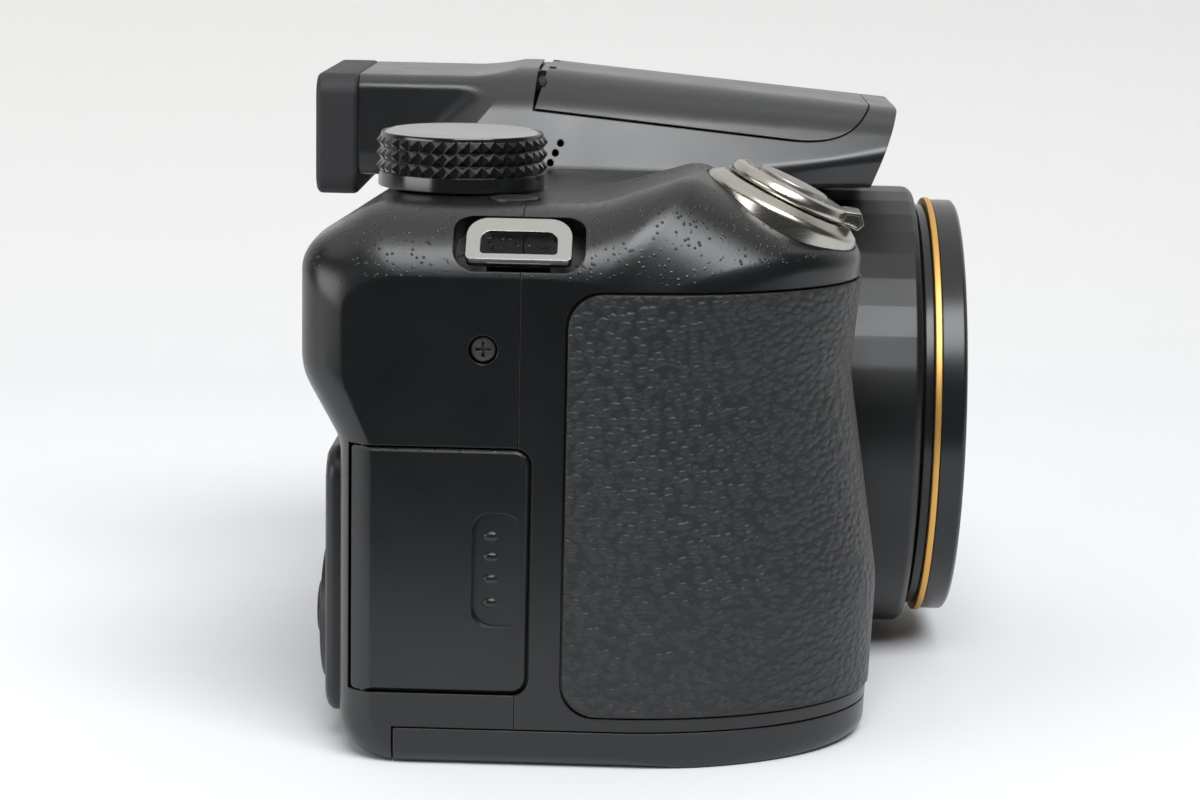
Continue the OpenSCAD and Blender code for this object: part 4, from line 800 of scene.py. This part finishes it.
prow = prism([(-34.6, 60), (-34.6, 71.5), (-38.8, 83), (-38.8, 95), (-60, 95), (-60, 60)], -30, 30)
deck = carved(prism(outline(PLAIN, ARCS, RUNS), -24, 24), (KEEP, box((-30, 30), (-14, 39), (72, 76))))
KNUCKLES = [(6.3, 9.6), (-9.6, -6.3)]
cover = carved(hump_form(), (ADD, deck), (CUT, prow), (CUT, flash_outline(0.3, 1.5)),
               (CUT, box((-15, 15), (-30, 11), (69.3, 76.9))),
               (CUT, box((-13, 13), (18, 47), (69.3, 84.8))),
               *((CUT, rod((11.4 + 0.7 * k, 77.9 - 1.4 * k), 0.5, -24, -14, "x", 24)) for k in range(3)),
               (CUT, rod(FLASH_BUTTON_AT, 2.55, 14, 25, "x")),
               (CUT, rod(DIOPTER_AT, 4.5, 14.7, 24, "x")),
               (CUT, rod(FLASH_PIN, 1.9, -6.3, 6.3, "x")),
               *((ADD, rod(FLASH_PIN, 1.5, *x, "x")) for x in KNUCKLES),
               *((ADD, box(x, (FLASH_PIN[0], 19.1), (84.8, 86.9))) for x in KNUCKLES),
               (CUT, rod(FLASH_PIN, 0.73, -20, 20, "x")))
piece(cover, "top_cover", hump_black)

aim = to(0, -30, 80.4) @ spun(-32.7, "X")
window = moved(box((-14.2, 14.2), (-1.85, 1.85), (-2.2, 1.05)), aim)
lid = carved(hump_form(), (KEEP, flash_outline(0, 0)),
             (CUT, carved(hump_form(-1.6), (KEEP, box((-25, 25), (-32.2, 12.2), (74, FAR))))),
             *((CUT, box(x, (12.7, 20), (84.1, FAR))) for x in ((-9.9, -6.15), (6.15, 9.9))),
             (ADD, rod(FLASH_PIN, 1.5, -6, 6, "x")), (ADD, box((-6, 6), (12.2, 14.6), (84.8, 87.1))),
             (CUT, rod(FLASH_PIN, 0.76, -20, 20, "x")), (CUT, window))
piece(lid, "flash_cover", hump_black, "flash_head")

# %% [markdown]
# ## Zoom lens
# The barrel is turned, and its upper half has shallow flutes for the fingers. A gold ring lies in a groove of the
# glossy front ring; the black bezel steps inward to the glass. Inside it two more barrels slide out.

# %% Barrels and rings
LENS = to(0, 0, LENS_Z) @ spun(90, "X")


def lens_turned(profile, steps=192):
    """Turned about the lens axis; the profile holds [radius, y]."""
    return moved(turned([(r, -y) for r, y in profile], steps), LENS)


def filleted(profile, r=0.3):
    """A closed profile whose corners away from the axis are rounded, and which ends where it starts."""
    out = []
    for i, p in enumerate(profile):
        p, a, b = Vector(p), Vector(profile[i - 1]), Vector(profile[(i + 1) % len(profile)])
        if p.x < 0.01:
            out.append(p)
            continue
        ka, kb = min(r, (a - p).length * 0.4), min(r, (b - p).length * 0.4)
        u, v = p + (a - p).normalized() * ka, p + (b - p).normalized() * kb
        out += [u, u.lerp(p, 0.55).lerp(v.lerp(p, 0.55), 0.5), v]
    return [tuple(q) for q in out + out[:1]]


FLUTE, FIRST, LAST, HOLLOW = 8, 17, 161, 0.085  # a flute's width, the first and the last in degrees, the depth
BARREL_R, FLUTED_TO = 34.2, -18.5
barrel = lens_turned(filleted([(31, -7.5), (33.2, -7.5), (33.2, -14), (BARREL_R, -14), (BARREL_R, -41.7),
                               (33.5, -42.6), (31, -42.6)], 0.3), 360)
bmesh.ops.bisect_plane(barrel, geom=barrel.verts[:] + barrel.edges[:] + barrel.faces[:],
                       plane_co=(0, FLUTED_TO, 0), plane_no=(0, 1, 0))
for v in barrel.verts:
    x, z = v.co.x, v.co.z - LENS_Z
    turn = math.degrees(math.atan2(z, x))
    if math.hypot(x, z) > BARREL_R - 0.4 and v.co.y < FLUTED_TO + 0.1 and FIRST < turn < LAST:
        across = (turn - FIRST) % FLUTE / FLUTE
        k = 1 - HOLLOW / BARREL_R * 4 * across * (1 - across)
        v.co.x, v.co.z = x * k, LENS_Z + z * k
flange = carved(lens_turned([(33.7, -11.95), (36.8, -11.95), (36.8, -10.4), (33.7, -10.4), (33.7, -11.95)]),
                (KEEP, box((-40, 34), (-14, 0), (3.2, 66.5))))
piece(joined(barrel, flange), "fixed_barrel", barrel_black, angle=6)

ring = lens_turned(filleted([(28.5, -43.2), (31.4, -43.2), (31.4, -44.55), (31.2, -44.55), (31.2, -45.65),
                             (32.2, -45.65), (32.2, -48.9), (31.6, -49.4), (29.3, -49.4), (29.0, -48.9),
                             (29.0, -46.1), (28.5, -46.1)], 0.22))
piece(ring, "front_ring", ring_black, "front_stage")
band = lens_turned(filleted([(31.22, -45.6), (32.5, -45.6), (32.5, -44.6), (31.22, -44.6)], 0.28))
piece(band, "accent_ring", gold, "front_stage")

# %% [markdown]
# ## Mode dial
# The dial's edge is cut into three rows of small four-sided points, which fingers can hold in any direction. Each
# point is a face of a plain drum that is inset a little and then poked outward. A turned disc fills the top.

# %% Mode dial
drum = bmesh.new()
bmesh.ops.create_cone(drum, cap_ends=True, segments=40, radius1=11.2, radius2=11.2, depth=5.1)
bmesh.ops.translate(drum, vec=(0, 0, 79.05), verts=drum.verts)
for z in (78.2, 79.9):
    bmesh.ops.bisect_plane(drum, geom=drum.verts[:] + drum.edges[:] + drum.faces[:], plane_co=(0, 0, z),
                           plane_no=(0, 0, 1))
sides = [f for f in drum.faces if abs(f.normal.z) < 0.1]
bmesh.ops.inset_individual(drum, faces=sides, thickness=0.03, depth=0.0)
bmesh.ops.poke(drum, faces=sides, offset=0.68, center_mode="MEAN")
skirt = turned(filleted([(0.001, 74.6), (11.5, 74.6), (11.4, 76.6), (0.001, 76.6)], 0.2), 96)
neck = turned([(0.001, 70.5), (2, 70.5), (2, 75.7), (0.001, 75.7)], 32)
lip = turned(filleted([(10.75, 81.4), (11.3, 81.4), (11.15, 82), (10.75, 82)], 0.12), 96)
dial = moved(joined(drum, skirt, neck, lip), to(*DIAL_AT, 0))
piece(dial, "mode_dial", gloss_black, "mode_dial", angle=20)
disc = turned([(0.001, 81.2), (10.7, 81.2), (10.7, 81.85), (10.55, 81.98), (9.7, 82.3), (9.45, 82.3), (9.3, 82.22),
               (0.001, 82.22)], 128)
piece(moved(disc, to(*DIAL_AT, 0)), "mode_dial_cap", dial_metal, "mode_dial")

# %% [markdown]
# ## Zoom lever and shutter button
# A plated dish stands on the sloping shoulder. The lever turns on it round the shutter button; its tab is a
# five-sided tube, so that a fingertip finds the edge. The button is dished for the finger.

# %% Zoom lever and shutter button
plate = turned(filleted([(6.06, -2.7), (11.2, -2.7), (11.2, 0.0), (10.9, 0.55), (9.5, 1.5), (6.06, 1.5)], 0.22),
               128)
piece(moved(plate, SHUTTER), "zoom_plate", champagne)
collar = turned(filleted([(5.2, -1), (6, -1), (6, 1.7), (8.55, 1.7), (8.7, 2.3), (8.2, 3.3), (7.4, 3.5),
                          (5.2, 3.5)], 0.2), 128)
tab = prism([(-7.5, 1.75), (-10.3, 1.9), (-10.75, 3.0), (-9.7, 4.25), (-7.5, 3.55)], -3.2, 3.2)
inner = [(-8.0, 2.15), (-9.95, 2.3), (-10.25, 2.95), (-9.55, 3.75), (-8.0, 3.2)]
tab = carved(softened(tab, 0.18), (CUT, prism(inner, -4, -2.2)), (CUT, prism(inner, 2.2, 4)),
             (CUT, rod((0, 0), 7.3, 0, 6, steps=64)))
piece(moved(carved(collar, (ADD, tab)), SHUTTER), "zoom_lever", champagne, "zoom_lever")
dish = [(r, 3.7 + 0.32 * (r / 4.6) ** 2) for r in (0.001, 1, 2, 3, 4)]
button = turned(dish + [(4.6, 4.05), (4.85, 3.95), (5, 3.7), (5, 1.6), (2, 1.6), (2, -5.5), (0.001, -5.5)], 96)
piece(moved(button, SHUTTER), "shutter_button", button_metal, "shutter_button")
knob = turned(filleted([(0.001, DECK - 2), (3.2, DECK - 2), (3.2, DECK + 0.35), (0.001, DECK + 0.35)], 0.3), 64)
piece(moved(knob, to(*POWER_AT, 0)), "power_button", button_black, "power_button")

# %% [markdown]
# ## Strap lugs and screws
# A lug is a bent loop of nickel-plated bar, rounded all along, on a foot that is held inside the case. The screws
# have a flat head with a cross recess.

# %% Lugs and screws
def arch(a, b, high_r, low_r):
    """Outline of a rectangle whose upper corners are rounder than its lower ones."""
    high, low = rounded_box(a, b, high_r), rounded_box(a, b, low_r)
    return high[:9] + low[9:27] + high[27:]


def lug():
    """A loop and its foot; the loop lies in the plane of X and Y."""
    loop = carved(prism(arch((-3.7, 3.0), (-6.85, 6.85), 2.9, 0.7), -0.8, 0.8, "z"),
                  (CUT, prism(arch((-2.8, 0.9), (-5.0, 5.0), 1.5, 0.5), -2, 2, "z")))
    loop = softened(loop, 0.55, 4, 60)
    return joined(loop, softened(box((-3.7, -2.1), (-4.2, 4.2), (-4.15, 0.05)), 0.2))


MIRROR = Matrix.Scale(-1, 4, (1, 0, 0))
piece(joined(moved(lug(), LUG), moved(lug(), LUG_FAR @ MIRROR)), "strap_lugs", nickel)


def screw():
    """A screw that points down."""
    head = turned([(0.001, 0.6), (1.4, 0.6), (1.6, 0.52), (1.7, 0.3), (1.7, 0), (0.8, 0), (0.8, -3), (0.001, -3)],
                  40)
    for t in (0, 90):
        slot = moved(box((-1.0, 1.0), (-0.2, 0.2), (-0.1, 2)), spun(t, "Z"))
        head = carved(head, (CUT, slot))
    return head


side = to(-77.9, *SIDE_SCREW) @ spun(-90, "Y")
under = [to(x, y, 1.9) @ Matrix.Rotation(math.pi, 4, "X") for x, y in BASE_SCREWS]
piece(joined(*(moved(screw(), m) for m in [side] + under)), "case_screws", screw_steel)

# %% [markdown]
# ## Back: panel, display and buttons
# The raised panel holds the display behind a flat window, and the controls to its right. The four-way pad rocks in
# a round land, with the OK button in its middle.

# %% Back panel and buttons
SLAB_EDGE = 2.2


def slab(x, z):
    """A raised panel with a rounded edge."""
    low = rounded_box(x, z, 4)
    high = rounded_box((x[0] + SLAB_EDGE, x[1] - SLAB_EDGE), (z[0] + SLAB_EDGE, z[1] - SLAB_EDGE), 3)
    bulge = [(0, 0), (0.05, 0.35), (0.22, 0.68), (0.5, 0.9), (1, 1)]
    rings = [[(p[0], 38.05, p[1]) for p in low]]
    for t, f in bulge:
        middle = [mixed(a, b, t) for a, b in zip(low, high)]
        rings.append([(px, 39 + 1.5 * f, pz) for px, pz in middle])
    return wrapped(rings)


land = moved(turned(filleted([(0.001, 38.4), (10.7, 38.4), (10.7, 40.3), (9.8, 41.7), (0.001, 41.7)], 0.3), 96),
             to(PAD[0], 0, PAD[1]) @ TO_BACK)
panel = carved(slab((-35, 35), (4, 63.5)), (ADD, slab((-71, -25.5), (4, 41))), (ADD, land),
               (CUT, prism(rounded_box((-29.7, 29.7), (10.8, 57.2), 1), 37, 42, "y")),
               (CUT, prism(rounded_box((-31.55, 31.55), (8.95, 59.05), 2), 39.5, 42, "y")),
               *((CUT, rod(p, 2.75, 37, 42, "y")) for p in (PLAY_AT, MENU_AT)),
               (CUT, rod(PAD, 9.05, 37, 43, "y", 96)))
piece(panel, "rear_panel", panel_black)
pane = softened(prism(rounded_box((-31.5, 31.5), (9, 59), 2), 39.55, 40.6, "y"), 0.2)
piece(pane, "lcd_window", screen_glass)


def back_button(at, r, lo, hi, dome=0.25):
    """A round button on the back with a slightly domed top."""
    top = [(r * k / 4, hi + dome * (1 - (k / 4) ** 2) - dome) for k in (0.001, 1, 2, 3)]
    profile = top + [(r - 0.25, hi - dome), (r - 0.07, hi - dome - 0.08), (r, hi - dome - 0.3), (r, lo), (0.001, lo)]
    return moved(turned(profile, 64), to(at[0], 0, at[1]) @ TO_BACK)


piece(back_button(VIDEO_AT, 3, 35.6, 39), "video_button", button_black, "video_button")
piece(back_button(PLAY_AT, 2.5, 38.7, 41), "play_button", button_black, "play_button")
piece(back_button(MENU_AT, 2.5, 38.7, 41.1), "menu_button", button_black, "menu_button")
piece(back_button(PAD, 3.7, 38.7, 43), "ok_button", button_black, "ok_button")
pad = carved(back_button(PAD, 8.8, 39, 42.2, 0.5), (CUT, rod(PAD, 3.95, 36, 46, "y", 64)))
for k in range(4):
    t = math.pi / 2 * k
    place = to(PAD[0] + 6.5 * math.cos(t), 41.95, PAD[1] + 6.5 * math.sin(t)) @ TO_BACK
    pad = carved(pad, (CUT, moved(turned([(0.001, -0.5), (0.9, 0.6), (0.001, 0.6)], 24), place)))
piece(pad, "four_way_pad", button_black, "four_way_pad")

# %% [markdown]
# ## Finder, flash button and port door
# The eyecup is soft rubber round the finder's glass. The diopter wheel has teeth for a fingernail, and the port
# door is a rubber flap that turns on a thin rod along its front edge.

# %% Finder, flash button and port door
cup = softened(prism(rounded_box((-17.6, 17.6), (68.9, 87.1), 3.2), 41.95, 48.3, "y"), 0.9, 4, 60)
cup = carved(cup, (CUT, prism(rounded_box((-11, 11), (72, 84), 3), 40, 50, "y")))
piece(cup, "eyecup", cup_rubber)
pane = softened(prism(rounded_box((-10.8, 10.8), (72.2, 83.8), 2.8), 38.9, 42.95, "y"), 0.4, 3)
piece(pane, "eyepiece_lens", lens_glass)
wheel = turned(filleted([(0.001, 14.8), (4.2, 14.8), (4.2, 17.9), (0.001, 17.9)], 0.3), 36)
stub = turned([(0.001, 13.2), (1.2, 13.2), (1.2, 14.9), (0.001, 14.9)], 24)
teeth = [f for f in wheel.faces if abs(f.normal.z) < 0.2 and f.calc_center_median().xy.length > 4.1]
bmesh.ops.inset_individual(wheel, faces=teeth, thickness=0.12, depth=-0.22)
wheel = moved(joined(wheel, stub), to(0, *DIOPTER_AT) @ TO_SIDE)
piece(wheel, "diopter_wheel", button_black, "diopter_wheel", angle=25)
press = turned(filleted([(0.001, 15.5), (2.3, 15.5), (2.3, 22.4), (0.001, 22.4)], 0.3), 48)
press = moved(press, to(0, *FLASH_BUTTON_AT) @ TO_SIDE)
piece(press, "flash_button", button_black, "flash_button")
flap = softened(prism(rounded_box((17.1, 30.3), (20, 46), 0.8), 38.7, 40, "x"), 0.2)
piece(carved(flap, (ADD, rod(PORT_PIN, 0.65, 20, 46))), "port_cover", cup_rubber, "port_cover")

# %% [markdown]
# ## Pieces that keep their CAD shape
# Pins, glass cells, boards and barrels inside the camera are already exact; they only need their materials.

# %% CAD pieces
done = {n for ob in bpy.context.scene.objects for n in ob.get("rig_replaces", [])}
for name, ob in frame["nodes"].items():
    if name not in done:
        ob.data.materials.clear()
        ob.data.materials.append(BY_SLOT[SLOTS[name]])
print("kept as CAD:", sorted(set(frame["nodes"]) - done))

# %% [markdown]
# ## Table and wall
# The photograph was taken on a white table before a pale wall, in the even light of a room. The table's front edge
# lies just below the picture, so that the camera's side mirrors the dim room beyond it.

# %% Table and wall
def flat_white(name, near, far, start, end):
    """White table that turns into the pale wall; from behind it is clear, so that it never hides the camera."""
    p = Paint(name, near, 0.6, Specular_IOR_Level=0.15)
    split = p.node("SeparateXYZ")
    p.link(p.where, split.inputs["Vector"])
    t = p.node("MapRange", From_Min=start, From_Max=end)
    t.interpolation_type = "SMOOTHERSTEP"
    p.link(split.outputs["X"], t.inputs["Value"])
    p.vary("Base Color", t.outputs["Result"], near, far)
    p.bump(p.noise((0.8, 0.8, 0.8), detail=2), 0.01)
    side = p.node("MixShader")
    p.link(p.node("NewGeometry").outputs["Backfacing"], side.inputs["Fac"])
    p.link(p.shader.outputs["BSDF"], side.inputs[1])
    p.link(p.node("BsdfTransparent").outputs["BSDF"], side.inputs[2])
    p.link(side.outputs["Shader"], p.tree.nodes["Material Output"].inputs["Surface"])
    return p.mat


sweep = bmesh.new()
TABLE_EDGE, WALL_FOOT, BEND, WALL_TOP, SHEET_HALF = -0.17, 0.20, 0.10, 1.0, 4.0  # metres
LIP = [(-0.004, -0.008), (-0.004, -0.004), (-0.003, -0.001), (0.0, 0.0)]
quarter = [k * math.pi / 16 for k in range(1, 9)]
path = [(TABLE_EDGE + x, z) for x, z in LIP] + [(WALL_FOOT, 0.0)]
path += [(WALL_FOOT + BEND * math.sin(t), BEND * (1 - math.cos(t))) for t in quarter]
path.append((WALL_FOOT + BEND, WALL_TOP))
verts = [sweep.verts.new((x, -SHEET_HALF, z)) for x, z in path]
edges = [sweep.edges.new(pair) for pair in zip(verts, verts[1:])]
more = bmesh.ops.extrude_edge_only(sweep, edges=edges)["geom"]
bmesh.ops.translate(sweep, vec=(0, 2 * SHEET_HALF, 0), verts=[v for v in more if isinstance(v, bmesh.types.BMVert)])
sweep.normal_update()
if min(f.normal.z for f in sweep.faces) < -0.9:
    bmesh.ops.reverse_faces(sweep, faces=sweep.faces)
floor_mesh = mesh_of(sweep, "table")
floor_mesh.polygons.foreach_set("use_smooth", [True] * len(floor_mesh.polygons))
floor_mesh.materials.append(flat_white("table_white", (0.83, 0.84, 0.86), (0.73, 0.72, 0.70), 0.14, 0.34))
table = placed(floor_mesh, "table")
print("table and wall:", len(floor_mesh.polygons), "faces")

# %% [markdown]
# ## Light
# A large soft light hangs above, a brighter one stands for the window on the grip's side, and a low one reaches
# the rear corner. The room itself is dim.

# %% Light
def soft_light(name, at, aim, size, watts, colour=(1, 1, 1)):
    """A rectangular lamp that looks at a point."""
    data = bpy.data.lights.new(name, "AREA")
    data.shape, data.size, data.size_y = "RECTANGLE", size[0], size[1]
    data.energy, data.color = watts, colour
    ob = placed(data, name)
    ob.location = at
    ob.rotation_euler = (Vector(aim) - Vector(at)).to_track_quat("-Z", "Y").to_euler()


soft_light("ceiling", (0.10, 0.10, 1.0), (0.05, 0, 0), (1.6, 1.4), 6.0, (1.0, 0.99, 0.97))
soft_light("window", (-0.66, -0.24, 0.90), (-0.03, -0.02, 0.06), (0.9, 0.5), 11.5, (0.96, 0.98, 1.0))
soft_light("side", (-0.50, 0.80, 0.22), (-0.05, 0, 0.05), (0.7, 0.4), 3.2)
world = bpy.data.worlds.new("room")
world.use_nodes = True
back = world.node_tree.nodes["Background"]
back.inputs["Color"].default_value = (0.94, 0.97, 1.0, 1)
back.inputs["Strength"].default_value = 0.06
bpy.context.scene.world = world
print("lights:", len(bpy.data.lights))

# %% [markdown]
# ## The photograph's camera
# Its place and focal length were worked out from the picture, so the render can be laid over the photograph.

# %% Camera
lens = bpy.data.cameras.new("photo")
lens.sensor_fit, lens.sensor_width, lens.lens, lens.clip_start = "HORIZONTAL", 36.0, 84.165, 0.01
shot = placed(lens, "photo")
shot.matrix_world = Matrix(((0.02373002, 0.18391832, -0.98265504, -0.43692),
                            (-0.99950969, 0.02444877, -0.01956109, -0.00352),
                            (0.02042707, 0.98263742, 0.18440832, 0.11727),
                            (0, 0, 0, 1)))
bpy.context.scene.camera = shot
bpy.context.scene.view_settings.view_transform = "Standard"
print("camera: lens", lens.lens, "mm")
